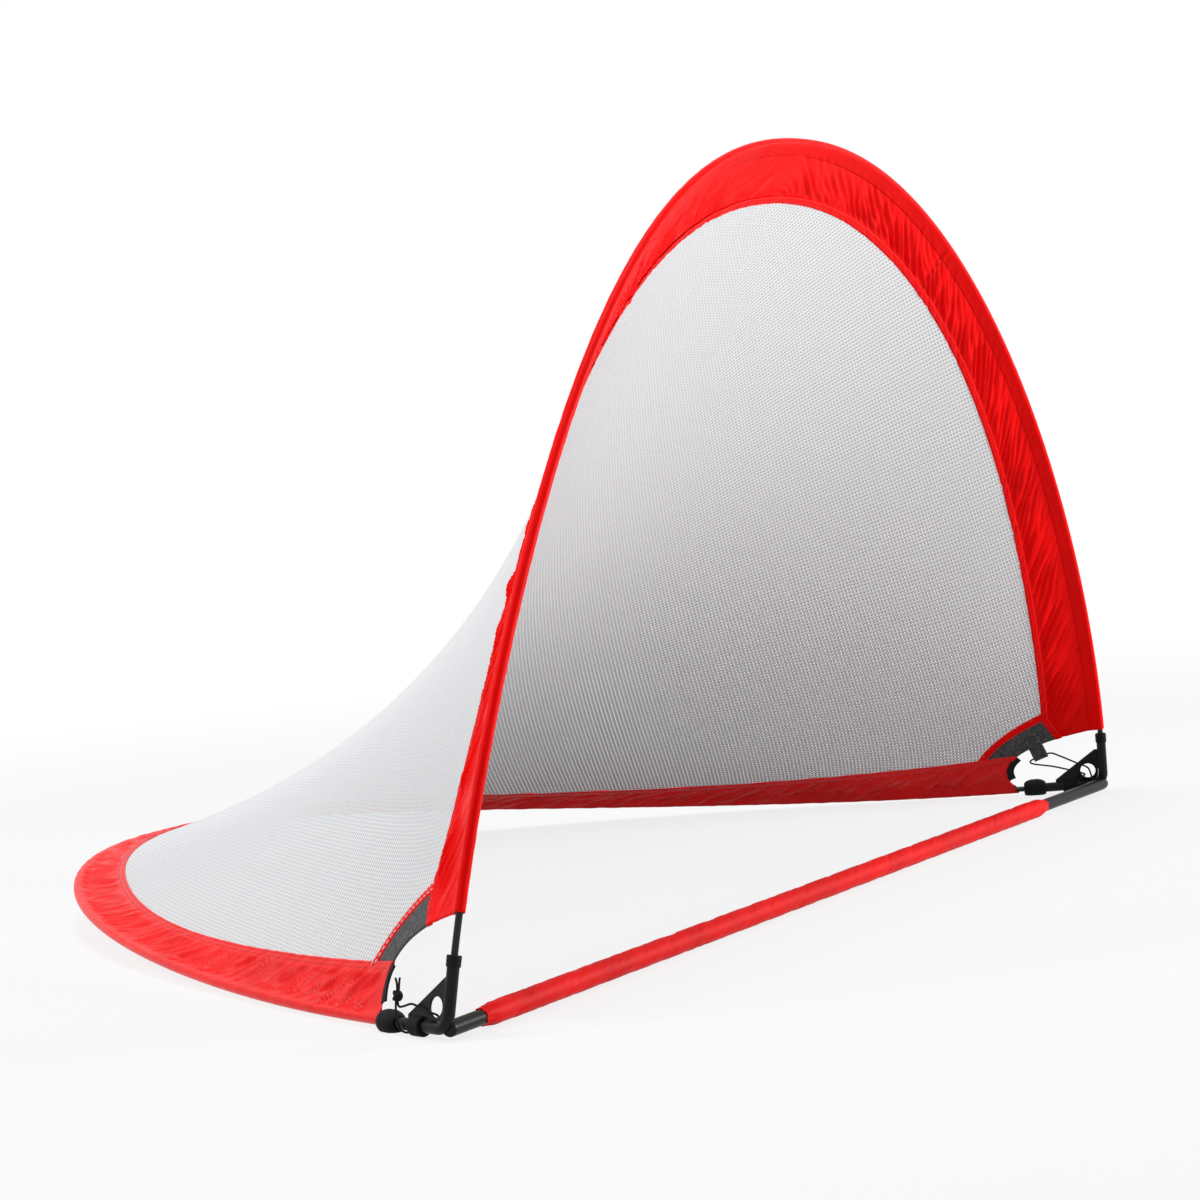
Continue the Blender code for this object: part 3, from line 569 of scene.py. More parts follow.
class Fabric:
    """The tensioned surface, read by column share and by distance from the front rod."""

    def __init__(self):
        self.grid = tensioned_grid()
        self.fine = refined(refined(self.grid, FINE_STEPS).swapaxes(0, 1), FINE_STEPS)
        running = [run(column) for column in self.fine]
        self.total = np.array([line[-1] for line in running])
        even = np.linspace(0, 1, self.fine.shape[1])
        self.points = np.stack([read_path(column, line, even * line[-1])
                                for line, column in zip(running, self.fine)])
        middle = self.grid[len(self.grid) // 2]
        self.side_step = np.linalg.norm(middle[1] - middle[0]) * (len(middle) - 1)

    def length(self, share):
        return np.interp(np.asarray(share) * (len(self.total) - 1), np.arange(len(self.total)), self.total)

    def inwards(self, share, reach, front):
        """Distance from the front rod of what lies at a reach inwards from the front or the rear rod."""
        return reach if front else self.length(share) - reach

    def at(self, share, distance):
        """Points at column shares and distances from the front rod."""
        share, distance = np.broadcast_arrays(np.asarray(share, float), np.asarray(distance, float))
        columns, rows = self.points.shape[:2]
        down = np.clip(distance / self.length(share), 0, 1)
        return read_grid(self.points, np.clip(share, 0, 1) * (columns - 1), down * (rows - 1))

    def normal(self, share, distance):
        """Normal away from the goal's inside: the cross product of the surface's two tangents."""
        room = self.length(share)
        before, after = np.clip(share - SHARE_STEP, 0, 1), np.clip(share + SHARE_STEP, 0, 1)
        above, below = np.clip(distance - LENGTH_STEP, 0, room), np.clip(distance + LENGTH_STEP, 0, room)
        along = self.at(after, distance) - self.at(before, distance)
        return unit(np.cross(self.at(share, below) - self.at(share, above), along))

    def band_width(self, share, front):
        """Width of a sleeve's band: its own course, eased between the listed shares."""
        places, widths = FRONT_BAND if front else REAR_BAND
        steps = (-0.04, -0.02, 0, 0.02, 0.04)
        eased = sum(np.interp(share + step, places, widths) for step in steps) / len(steps)
        return np.minimum(eased, BAND_SHARE * self.length(share))


def even_shares(fabric, front, count):
    """Column shares at equal steps along one rod, and those steps' distances."""
    shares = np.linspace(0, 1, 2001)
    along = run(fabric.at(shares, fabric.inwards(shares, 0, front)))
    wanted = np.linspace(0, along[-1], count)
    return np.interp(wanted, along, shares), wanted


def waves(along, across, spacing, slant, seed, count=7, spread=0.25):
    """Gathers: a sum of slanted sine waves, each with its own length, lean and start, and a slow drift."""
    random = np.random.default_rng(seed)
    total = 0
    for _ in range(count):
        length = spacing * random.uniform(0.55, 1.7)
        lean = slant * random.uniform(1 - spread, 1 + spread)
        start = random.uniform(0, 2 * math.pi)
        drift = 1.4 * np.sin(2 * math.pi * along / (length * random.uniform(3, 6)) + start)
        total = total + np.sin(2 * math.pi * (along + lean * across) / length + start + drift)
    return total / math.sqrt(count)


def smooth_step(value, low, high):
    """0 up to low, 1 from high, and an even curve between: share squared times (3 - 2 share)."""
    share = np.clip((value - low) / (high - low), 0, 1)
    return share * share * (3 - 2 * share)


def groove(distance, centre, width):
    """Bell of height 1 round a seam's line."""
    return np.exp(-(((distance - centre) / width) ** 2))


# The sleeves

HEM = 0.011
HEM_HALF = 0.0012
HEM_SEAMS = (("outer", 0.0088), ("inner", 0.0030))
TUNNEL_SEAM = 0.016
PANEL_SEAMS = (0.335, 0.665)
SLEEVE_COLUMNS = 700
SLEEVE_THICKNESS = 0.0010
STITCH_LENGTH = 0.0030
STITCH_RADIUS = 0.0004
PANEL_STITCH_STEP = 0.0036
PANEL_STITCH_LIFT = 0.0022
HEM_STITCH_STEP = 0.0052
HEM_STITCH_LIFT = 0.0034
BINDING_STITCH_STEP = 0.0088
BINDING_STITCH_LIFT = 0.0034
BINDING_STITCH_LENGTH = 0.0058
BINDING_STITCH_RADIUS = 0.0007
FRONT_CREASE = 0.0058
REAR_CREASE = 0.0030
REAR_WAVE = 0.0014
STILL_END = 0.050


def sleeve_section(width):
    """Section as (inwards distance, lift) for each column: turned hem, band, ring round the rod, lap.

    The hem's two layers lie HEM_HALF each side of the surface, and the upper one eases down to it. Past the
    tunnel's seam the band rises on a straight line that touches the ring, and the lap returns below it.
    """
    turned_back = np.linspace(HEM - 0.001, HEM_HALF, 5)
    fold = np.radians(np.linspace(-90, 90, 6))[1:]
    band = np.linspace(1, 0, 30)[1:]
    rise = np.linspace(0, 1, 9)[1:]
    touch = math.acos(SLEEVE_REACH / TUNNEL_SEAM)
    near, high = SLEEVE_REACH * math.cos(touch), SLEEVE_REACH * math.sin(touch)
    ring = np.linspace(touch, 2 * math.pi - touch, 14)[1:-1]
    lap = np.linspace(0, 1.1, 7)
    edge = [width - turned_back, width - HEM_HALF * (1 - np.cos(fold)),
            TUNNEL_SEAM + band * (width - HEM_HALF - TUNNEL_SEAM)]
    rest = np.concatenate([TUNNEL_SEAM + rise * (near - TUNNEL_SEAM), SLEEVE_REACH * np.cos(ring),
                           near + lap * (TUNNEL_SEAM - near)])
    a = np.concatenate([*edge, np.broadcast_to(rest, (len(width), len(rest)))], axis=1)
    from_hem = width - edge[2]
    lift = [-HEM_HALF + 0 * edge[0], HEM_HALF * np.sin(fold) + 0 * edge[1],
            HEM_HALF * (1 - smooth_step(from_hem, HEM, 0.022))]
    tunnel = np.concatenate([rise * high, SLEEVE_REACH * np.sin(ring),
                             -high * np.maximum(1 - lap, 0) - 0.0004 * np.minimum(lap, 1)])
    b = np.concatenate([*lift, np.broadcast_to(tunnel, (len(width), len(rest)))], axis=1)
    on_ring = np.zeros(a.shape[1], bool)
    on_ring[-len(lap) - len(ring):-len(lap)] = True
    return a, b, on_ring


def gathers(front, line, a, width, total):
    """Relief of a band: slanted folds, with the hem's seams and the panel seams pulled in.

    The front band's folds are creases between broad swells, deepest near the hem and gone before the rod;
    the rear band's cross the whole of it. All are calmer towards the band's two ends.
    """
    from_hem = width - a
    from_top = np.sqrt((line - total / 2) ** 2 + 0.03**2)
    from_end = np.minimum(line, total - line)
    if front:
        swells = waves(from_top, a, 0.046, -1.5, 3, 5)
        depth = FRONT_CREASE * smooth_step(0.082 - from_hem, 0.0, 0.074)
        relief = depth * (np.sqrt(swells**2 + 0.03) - 0.6) + 0.0003 * waves(from_top, a, 0.014, -0.8, 4)
    else:
        near = smooth_step(from_top, 0.25 * total, 0.45 * total)
        creases = np.sqrt(waves(from_top, a, 0.036, -1.0, 6, 4, 0.10) ** 2 + 0.008) - 0.6
        relief = (REAR_WAVE * waves(from_top, a, 0.055, -1.0, 5) + (REAR_CREASE + 0.0014 * near) * creases
                  + 0.0010 * near * waves(from_top, a, 0.013, -0.7, 7, 5, 0.12))
    relief = relief * smooth_step(a, 0.001, 0.014) * (1 - 0.85 * smooth_step(0.020 - from_hem, 0.0, 0.012))
    relief = relief * (0.25 + 0.75 * smooth_step(from_end, 0.004, STILL_END))
    relief = relief - 0.0006 * groove(from_hem, HEM, 0.0012) - 0.0004 * groove(from_hem, 0.0055, 0.0010)
    relief = relief - 0.0007 * groove(from_end, 0.010, 0.0014)
    for seam in PANEL_SEAMS if front else ():
        relief = relief - 0.0016 * groove(line, seam * total, 0.0022)
    return relief


def sleeve_surface(fabric, front, shares, along, width):
    """Points of a sleeve: each at inwards distance a from the rod along the fabric, raised by b from it.

    The band has its gathers, and the ring round the rod is a little lumpy.
    """
    a, b, on_ring = sleeve_section(width)
    column = np.broadcast_to(shares[:, None], a.shape)
    line = np.broadcast_to(along[:, None], a.shape)
    inside = np.maximum(a, 0)
    points = fabric.at(column, fabric.inwards(column, inside, front))
    rod = fabric.at(shares, fabric.inwards(shares, 0, front))
    first = fabric.at(shares, fabric.inwards(shares, 0.01, front))
    points = points + np.minimum(a, 0)[..., None] * unit(first - rod)[:, None]
    normals = fabric.normal(column, fabric.inwards(column, np.maximum(inside, 0.006), front))
    lumps = np.clip(1 + waves(np.abs(line - along[-1] / 2), a, 0.036, -0.9, 5), 0, 2)
    swell = 0.03 if front else 0.06
    b = np.where(on_ring, b * (1 + swell * lumps), b + gathers(front, line, a, width, along[-1]))
    return points + b[..., None] * normals


def add_sleeve(fabric, front):
    """One arch's sleeve, with the stitches of its panel seams and of its hem."""
    name = "front" if front else "rear"
    shares, along = even_shares(fabric, front, SLEEVE_COLUMNS)
    width = fabric.band_width(shares, front)[:, None]
    points = sleeve_surface(fabric, front, shares, along, width)
    uv = surface_uv(along, run(points[SLEEVE_COLUMNS // 2]))
    # The rear sleeve takes lit_nylon, the red nylon with the brighter light on its band painted in as colour
    # and sheen.
    stuff = FINISHES["red_nylon" if front else "lit_nylon"]
    cloth = add_piece(f"{name}_sleeve_cloth", points, grid_faces(*points.shape[:2]), stuff, uv)
    dress(thicken(cloth, SLEEVE_THICKNESS), f"{name}_arch", "red_nylon", f"{name}_sleeve")
    total = float(along[-1])

    def add_seam(word, share, line, reach, lift):
        """Stitches at inwards distances from the rod, on the band's relief."""
        away = fabric.inwards(share, reach, front)
        normals = fabric.normal(share, away)
        relief = gathers(front, line, reach, fabric.band_width(share, front), total)
        places = fabric.at(share, away) + relief[:, None] * normals
        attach(stitches(f"{name}_{word}", places, normals, lift, STITCH_LENGTH), f"{name}_arch")

    for number, seam in enumerate(PANEL_SEAMS if front else ()):
        reach = np.arange(0.008, float(width.min()), PANEL_STITCH_STEP)
        share = np.full(len(reach), np.interp(seam, along / total, shares))
        add_seam(f"panel_stitches_{number + 1}", share, seam * total, reach, PANEL_STITCH_LIFT)
    spots = np.linspace(0.004, 0.996, int(total / HEM_STITCH_STEP))
    share = np.interp(spots, along / total, shares)
    for word, inset in HEM_SEAMS:
        reach = fabric.band_width(share, front) - inset
        add_seam(f"hem_stitches_{word}", share, spots * total, reach, HEM_STITCH_LIFT)


def stitches(name, places, normals, lift, length, stuff="red_thread", radius=STITCH_RADIUS, both=True):
    """Short threads along a seam, on the cloth's outer face or on both.

    Each is a six-sided bead, stretched along the seam: a point, two rings and a point.
    """
    along = unit(np.gradient(places, axis=0))
    side = np.cross(normals, along)
    turn = np.linspace(0, 2 * math.pi, 6, endpoint=False)
    ring = np.stack([0 * turn, radius * np.cos(turn), radius * np.sin(turn)], -1)
    tip, shoulder = np.array([length / 2, 0, 0]), np.array([length / 3, 0, 0])
    bead = np.concatenate([[-tip], ring - shoulder, ring + shoulder, [tip]])
    skin = [(0, 1 + (i + 1) % 6, 1 + i) for i in range(6)]
    skin += [(1 + i, 1 + (i + 1) % 6, 7 + (i + 1) % 6, 7 + i) for i in range(6)]
    skin += [(7 + i, 7 + (i + 1) % 6, 13) for i in range(6)]
    threads = bead[:, :1] * along[:, None] + bead[:, 1:2] * side[:, None] + bead[:, 2:] * normals[:, None]
    points = np.concatenate([(places + normals * lift * sign / 2)[:, None] + threads
                             for sign in ((1, -1) if both else (1,))])
    faces = [tuple(corner + start for corner in face)
             for start in range(0, len(points) * len(bead), len(bead)) for face in skin]
    return outward(add_piece(name, points, faces, FINISHES[stuff]))


# Cloth that joins both arches

def part_distance(points):
    """How far points lie behind the plane where cloth is cut in two, in metres."""
    return np.asarray(points) @ PART_PLANE - PART_OFFSET


def hand_over(piece):
    """Bakes a piece's placement into its points."""
    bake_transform(piece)


def add_parted(name, points, faces, stuff, uv, node, thickness=0.0):
    """Adds a cloth as a front and a rear piece, cut along the cell edges nearest the plane."""
    flat = np.asarray(points, float).reshape(-1, 3)
    uv = np.asarray(uv, float).reshape(-1, 2)
    faces = np.asarray(faces)
    middle = part_distance(flat[faces].mean(axis=1))
    made = []
    for word, body, chosen in (("front", "front_arch", middle < 0), ("rear", "rear_arch", middle >= 0)):
        used, fresh = np.unique(faces[chosen], return_inverse=True)
        piece = add_piece(f"{name}_{word}", flat[used], fresh.reshape(-1, faces.shape[1]), stuff, uv[used])
        if thickness:
            thicken(piece, thickness)
        hand_over(piece)
        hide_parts(node)
        made.append(piece)
    return made


def flattened(grid, rounds=1500):
    """Nearly true flat layout of the surface.

    It starts with the arches unfolded into one plane, and each edge then pulls its ends to its real length.
    """
    flat = np.stack([grid[..., 0], grid[..., 2] - grid[..., 1]], -1)
    along = np.linalg.norm(np.diff(grid, axis=1), axis=2)
    down = np.linalg.norm(np.diff(grid, axis=0), axis=2)
    slant = np.linalg.norm(grid[1:, 1:] - grid[:-1, :-1], axis=2)
    other = np.linalg.norm(grid[1:, :-1] - grid[:-1, 1:], axis=2)
    for _ in range(rounds):
        push = np.zeros_like(flat)
        for real, first, second in (
                (along, (slice(None), slice(None, -1)), (slice(None), slice(1, None))),
                (down, (slice(None, -1), slice(None)), (slice(1, None), slice(None))),
                (slant, (slice(None, -1), slice(None, -1)), (slice(1, None), slice(1, None))),
                (other, (slice(None, -1), slice(1, None)), (slice(1, None), slice(None, -1)))):
            gap = flat[second] - flat[first]
            now = np.linalg.norm(gap, axis=-1, keepdims=True)
            change = gap * (1 - real[..., None] / np.maximum(now, 1e-9)) * 0.11
            push[first] += change
            push[second] -= change
        flat += push
    return flat


def located(flat, targets):
    """Grid places (row, column) whose flat layout is at the targets, by Newton steps from the nearest."""
    rows, columns = flat.shape[:2]
    coarse = flat[::2, ::2].reshape(-1, 2)
    chunks = np.array_split(targets, max(1, len(targets) // 4000))
    nearest = np.concatenate([np.argmin(((chunk[:, None] - coarse[None]) ** 2).sum(-1), axis=1)
                              for chunk in chunks])
    r, c = np.divmod(nearest, len(range(0, columns, 2)))
    place = np.stack([2.0 * r, 2.0 * c], -1)
    limit = np.array([rows - 1.001, columns - 1.001])
    step = 0.05

    def read(at):
        return read_grid(flat, *np.clip(at, 0, limit).T)

    for _ in range(14):
        by_row = (read(place + [step, 0]) - read(place - [step, 0])) / (2 * step)
        by_column = (read(place + [0, step]) - read(place - [0, step])) / (2 * step)
        miss = targets - read(place)
        area = flat_cross(by_row, by_column)
        area = np.where(np.abs(area) < 1e-7, 1e-7, area)
        change = np.stack([flat_cross(miss, by_column) / area, flat_cross(by_row, miss) / area], -1)
        place = np.clip(place + np.clip(change, -2, 2), 0, limit)
    return place, np.linalg.norm(read(place) - targets, axis=1)


def knit_cells(flat):
    """Straight rows of cells over the flat cloth: the corners' flat places, the cells, the corners' UV."""
    low, high = flat.min(axis=(0, 1)), flat.max(axis=(0, 1))
    reach = np.linalg.norm(high - low) / 2
    rib = np.array([math.cos(KNIT_ANGLE), math.sin(KNIT_ANGLE)])
    tie = np.array([-math.sin(KNIT_ANGLE), math.cos(KNIT_ANGLE)])
    columns, rows = int(2 * reach / KNIT_PITCH[1]), int(2 * reach / KNIT_PITCH[0])
    x, y = np.meshgrid(np.arange(columns) - columns / 2, np.arange(rows) - rows / 2, indexing="ij")
    corners = (low + high) / 2 + x[..., None] * KNIT_PITCH[1] * rib + y[..., None] * KNIT_PITCH[0] * tie
    cells = corners[:-1, :-1]
    i, j = np.nonzero(((cells > low - 0.01) & (cells < high + 0.01)).all(-1))
    index = np.arange(columns * rows).reshape(columns, rows)
    quad = np.stack([index[i, j], index[i + 1, j], index[i + 1, j + 1], index[i, j + 1]], -1)
    used, fresh = np.unique(quad, return_inverse=True)
    uv = np.stack(np.divmod(used, rows), -1) * [KNIT_PITCH[1], KNIT_PITCH[0]] + [0, KNIT_PITCH[0] / 2]
    return corners.reshape(-1, 2)[used], fresh.reshape(-1, 4), uv


def hole_corners(points, uv, quad, outwards):
    """The corners of each cell's hole: shares x and y of the way across the cell, set below the crests."""
    a, b, c, d = (points[quad[:, k]] for k in range(4))
    normal = unit(np.cross(b - a, d - a))
    normal *= np.sign((normal * outwards).sum(-1, keepdims=True))
    lower, lower_uv = [], []
    for x, y in ((TIE_HALF, RIB_HALF), (1 - TIE_HALF, RIB_HALF), (1 - TIE_HALF, 1 - RIB_HALF),
                 (TIE_HALF, 1 - RIB_HALF)):
        spot = (1 - x) * (1 - y) * a + x * (1 - y) * b + x * y * c + (1 - x) * y * d
        lower.append(spot - normal * KNIT_RELIEF)
        lower_uv.append(uv[quad[:, 0]] + [x * KNIT_PITCH[1], y * KNIT_PITCH[0]])
    return np.stack(lower, 1).reshape(-1, 3), np.stack(lower_uv, 1).reshape(-1, 2)


def add_net(fabric):
    """Knit net: cells in straight rows of the flat cloth, laid on the tensioned surface.

    Each cell has four corners on the threads' crests and four more round its hole, set lower, so that the
    ribs and the ties between them stand up as rounded threads.
    """
    flat = flattened(fabric.grid)
    corners, quad, uv = knit_cells(flat)
    place, miss = located(flat, corners)
    share = place[:, 1] / (fabric.grid.shape[1] - 1)
    points = read_grid(fabric.fine, place[:, 1] * FINE_STEPS, place[:, 0] * FINE_STEPS)
    from_front = running_distance(fabric, place)
    from_side = np.minimum(share, 1 - share) * fabric.side_step
    front_edge, rear_edge = (fabric.band_width(share, front) - HEM_OVERLAP for front in (True, False))
    within = ((miss < LAYOUT_MISS) & (from_front > front_edge)
              & (from_front < fabric.length(share) - rear_edge) & (from_side > STRAP_WIDTH + NET_GAP))
    quad = quad[within[quad].all(axis=1)]
    outwards = fabric.normal(share[quad[:, 0]], from_front[quad[:, 0]])
    lower, lower_uv = hole_corners(points, uv, quad, outwards)
    hole = len(points) + np.arange(len(quad) * 4).reshape(-1, 4)
    faces = np.concatenate([np.stack([quad[:, k], quad[:, (k + 1) % 4], hole[:, (k + 1) % 4], hole[:, k]], -1)
                            for k in range(4)])
    points, uv = np.concatenate([points, lower]), np.concatenate([uv, lower_uv])
    right = points[faces[:, 0], 0] > 0
    stuff = FINISHES["white_knit"]
    for word, half in (("right", right), ("left", ~right)):
        for piece in add_parted(f"net_{word}", points, faces[half], stuff, uv, "net"):
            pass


def running_distance(fabric, place):
    """Distance from the front rod, down the fabric, of grid places (row, column)."""
    steps = np.linalg.norm(np.diff(fabric.grid, axis=0), axis=2)
    running = np.concatenate([np.zeros((1, steps.shape[1])), np.cumsum(steps, axis=0)])
    return read_grid(running, *place.T)


def add_strip(fabric, side, name, near, far, thickness, stuff, node, crown=0.0):
    """Band of cloth down a corner between two inwards distances, tucked under both sleeves' hems.

    Its middle is raised by the crown, which falls to nothing with the square of the share to either edge.
    """
    spread = np.linspace(near, far, 9)
    share = spread / fabric.side_step
    share = share if side > 0 else 1 - share
    first, last = (fabric.band_width(share, front) - HEM_OVERLAP for front in (True, False))
    part = np.linspace(0, 1, 60)
    distance = first[:, None] + part[None] * (fabric.length(share) - first - last)[:, None]
    column = np.broadcast_to(share[:, None], distance.shape)
    normals = fabric.normal(column, distance)
    across = np.linspace(-1, 1, 9)[:, None]
    points = fabric.at(column, distance) + normals * (crown * (1 - across**2))[..., None]
    uv = np.stack(np.broadcast_arrays(spread[:, None], distance), -1)
    faces = grid_faces(*distance.shape)
    for piece in add_parted(name, points, faces, FINISHES[stuff], uv, node, thickness):
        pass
    return points, normals


def add_corner_cloth(fabric, side, word):
    """Strap and net binding of one corner, with the binding's white stitches on its outer face."""
    add_strip(fabric, side, f"{word}_strap", 0.0, STRAP_WIDTH, STRAP_THICKNESS, "black_webbing",
              f"{word}_corner_strap")
    start, end = STRAP_WIDTH - BINDING_LAP, STRAP_WIDTH + BINDING_WIDTH
    points, normals = add_strip(fabric, side, f"{word}_binding", start, end, BINDING_THICKNESS, "red_nylon",
                                f"{word}_net_binding", BINDING_CROWN)
    for line, name in ((2, "outer"), (6, "inner")):
        behind = part_distance(points[line]) >= 0
        for body, chosen in (("front_arch", ~behind), ("rear_arch", behind)):
            if chosen.sum() > 3:
                seam = evenly(points[line][chosen], normals[line][chosen], BINDING_STITCH_STEP)
                threads = stitches(f"{word}_binding_stitches_{name}_{body}", *seam, BINDING_STITCH_LIFT,
                                   BINDING_STITCH_LENGTH, "white_thread", BINDING_STITCH_RADIUS, both=False)
                hand_over(threads)


def evenly(places, normals, spacing):
    """Places and normals at equal steps along a line."""
    along = run(places)
    wanted = np.arange(spacing / 2, along[-1], spacing)
    return read_path(places, along, wanted), unit(read_path(normals, along, wanted))


# Corners

class Corner:
    """One corner's two leg directions and its inward normal, with the sockets' mouths."""

    def __init__(self, side):
        self.side = side
        self.word = "right" if side > 0 else "left"
        self.point = np.array([side * CORNER_X, 0, BAR_HEIGHT])
        angles = front_angle(FRONT_SOCKET), rear_angle(REAR_SOCKET)
        if side < 0:
            angles = [math.pi - angle for angle in angles]
        self.front_mouth = front_arch(np.array(angles[0]))
        self.rear_mouth = rear_arch(np.array(angles[1]))
        self.front, self.rear = unit(self.front_mouth - self.point), unit(self.rear_mouth - self.point)
        self.front_length = float(np.linalg.norm(self.front_mouth - self.point))
        self.rear_length = float(np.linalg.norm(self.rear_mouth - self.point))
        self.inwards = unit(np.cross(self.front, self.rear)) * side
        self.spread = math.acos(float(self.front @ self.rear))
        self.tangent = BEND_RADIUS / math.tan(self.spread / 2)
        middle = unit(self.front + self.rear)
        self.bend_centre = self.point + middle * BEND_RADIUS / math.sin(self.spread / 2)

    def at(self, front, rear, inwards=0.0):
        return self.point + self.front * front + self.rear * rear + self.inwards * inwards

    def bend(self, radius, count):
        """Arc round the bend's centre, from the front leg to the rear leg."""
        start = unit(self.at(self.tangent, 0) - self.bend_centre)
        last = self.at(0, self.tangent) - self.bend_centre
        across = unit(last - start * (last @ start))
        turn = np.linspace(0, math.pi - self.spread, count)[:, None]
        return self.bend_centre + radius * (np.cos(turn) * start + np.sin(turn) * across)


def add_corner_tube(corner):
    """Socket tube: two straight legs and the bend between them, one smooth skin."""
    bend = corner.bend(BEND_RADIUS, 22)
    legs = [corner.front_mouth + (bend[0] - corner.front_mouth) * t for t in np.linspace(0, 0.96, 8)]
    back = [bend[-1] + (corner.rear_mouth - bend[-1]) * t for t in np.linspace(0.04, 1, 8)]
    path = [*legs, *bend, *back]
    piece = tube(f"{corner.word}_socket_tube", path, TUBE_RADIUS, 36, FINISHES["black_steel"])
    dress(piece, "base", "black_steel", f"{corner.word}_corner_tube")


def gusset_outline(corner):
    """Corners of the plate in its own plane, as the model has them."""
    near = (TUBE_RADIUS + GAP) / math.sin(corner.spread)
    front, rear = corner.at(GUSSET_FRONT, near), corner.at(near, GUSSET_REAR)
    bend = corner.bend(BEND_RADIUS - TUBE_RADIUS - GAP, 10)
    return np.array([front, *bend, rear, rear + corner.front * GUSSET_TIP, front + corner.rear * GUSSET_TIP])


def add_gusset(corner):
    """Plate with a round hole: rays from the hole's centre to the outline, with rounded rims.

    A ray meets a side where its share of the two directions' signed area reaches the side's own.
    """
    reach = (TUBE_RADIUS + GAP + GUSSET_TIP + GUSSET_HOLE) / math.sin(corner.spread)
    centre = corner.at(reach, reach)
    x = corner.front
    y = unit(corner.rear - x * (corner.rear @ x))
    outline = gusset_outline(corner) - centre
    flat = np.stack([outline @ x, outline @ y], -1)
    flat = flat[np.argsort(np.arctan2(flat[:, 1], flat[:, 0]))]
    angle = np.linspace(-math.pi, math.pi, 120, endpoint=False)
    angle = np.sort(np.concatenate([angle, np.arctan2(flat[:, 1], flat[:, 0])]))
    ray = np.stack([np.cos(angle), np.sin(angle)], -1)
    side = np.roll(flat, -1, axis=0) - flat
    facing = flat_cross(ray[:, None], side[None])
    met = flat_cross(flat, side)[None] / np.where(np.abs(facing) < 1e-9, 1, facing)
    distance = np.where(facing > 1e-9, met, np.inf).min(axis=1)
    edge, half = GUSSET_RIM, GUSSET_HALF
    levels = [(1, 0, -half + edge), (1, -edge, -half), (0, edge, -half), (0, 0, -half + edge),
              (0, 0, half - edge), (0, edge, half), (1, -edge, half), (1, 0, half - edge)]
    rings = []
    for outer, inset, height in levels:
        place = ray * np.broadcast_to((distance if outer else GUSSET_HOLE) + inset, len(ray))[:, None]
        rings.append(centre + place[:, :1] * x + place[:, 1:] * y + height * corner.inwards)
    faces = grid_faces(len(levels), len(ray), True, True)
    plate = outward(add_piece(f"{corner.word}_gusset_plate", rings, faces, FINISHES["black_steel"]))
    plate.data.set_sharp_from_angle(angle=math.radians(35))
    dress(plate, "base", "black_steel", f"{corner.word}_gusset")


def add_welds(corner):
    """Weld beads where the plate meets both legs, on both of its faces: tubes that ripple like a cosine."""
    near = TUBE_RADIUS * 0.99
    for face, offset in (("inner", WELD_OFFSET), ("outer", -WELD_OFFSET)):
        for leg, end in WELD_ENDS:
            steps = np.linspace(WELD_START, end, 60)
            path = [corner.at(*((s, near) if leg == "front" else (near, s)), offset) for s in steps]
            ripple = WELD_RADIUS + WELD_RIPPLE * np.cos(steps / WELD_PITCH * 2 * math.pi)
            weld = tube(f"{corner.word}_{leg}_weld_{face}", path, ripple, 10, FINISHES["black_steel"])
            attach(weld, "base")


def add_rubber(corner):
    """Collar on the front socket, ribbed grip on the rear leg and round boot on the rear socket."""
    bore, rod = TUBE_RADIUS + GAP, ROD_RADIUS + ROD_PLAY
    top = corner.front_length + GAP
    lip, foot = top + COLLAR_WALL, corner.front_length - COLLAR_HEIGHT
    collar = rounded([(foot, bore + 0.0009), (lip, bore + 0.0011), (lip, rod), (top, rod), (top, bore),
                      (foot, bore)], 0.0007)
    ribs = [(place, GRIP_RADIUS - (0.0007 if i % 2 else 0))
            for i, place in enumerate(np.linspace(GRIP_START + 0.0018, GRIP_END - 0.0018, 9))]
    grip = rounded([(GRIP_START, GRIP_RADIUS - 0.0012), *ribs, (GRIP_END, GRIP_RADIUS - 0.0012),
                    (GRIP_END, bore), (GRIP_START, bore)], 0.0009)
    middle, half = (BOOT_START + BOOT_END) / 2, (BOOT_END - BOOT_START) / 2
    turn = np.linspace(-BOOT_SWEEP, BOOT_SWEEP, 26)
    places = middle + half * np.sin(turn) / math.sin(BOOT_SWEEP)
    bulge = BOOT_RADIUS * np.cos(turn) ** 0.6 - 0.0005 * np.exp(-(((places - middle) / 0.002) ** 2))
    mouth = corner.rear_length + GAP
    boot = [*zip(places, bulge), (BOOT_END, rod), (mouth, rod), (mouth, bore), (BOOT_START, bore)]
    for name, node, leg, profile, sides in (("collar_cap", "socket_collar", corner.front, collar, 40),
                                            ("ribbed_grip", "floor_grip", corner.rear, grip, 48),
                                            ("round_boot", "boot", corner.rear, boot, 48)):
        piece = turned(f"{corner.word}_{name}", corner.point, leg, profile, sides, FINISHES["black_rubber"])
        dress(piece, "base", "black_rubber", f"{corner.word}_{node}")
        if node != "socket_collar":
            sit(piece)


def sit(piece):
    """Flattens what would reach below the ground into a sole."""
    count = len(piece.data.vertices)
    place = np.empty(count * 3, np.float32)
    piece.data.vertices.foreach_get("co", place)
    place = place.reshape(-1, 3)
    place[:, 2] = np.maximum(place[:, 2], 0)
    piece.data.vertices.foreach_set("co", place.ravel())
    piece.data.update()


def rod_path(front, count=160):
    """One arch from stop to stop: straight in both sockets and bowed between them."""
    shape = front_arch if front else rear_arch
    start = front_angle(FRONT_SOCKET) if front else rear_angle(REAR_SOCKET)
    middle = shape(np.linspace(start, math.pi - start, count))
    first, last = (corner.point + (corner.front if front else corner.rear) * ROD_STOP for corner in CORNERS)
    return np.concatenate([[first], middle, [last]])


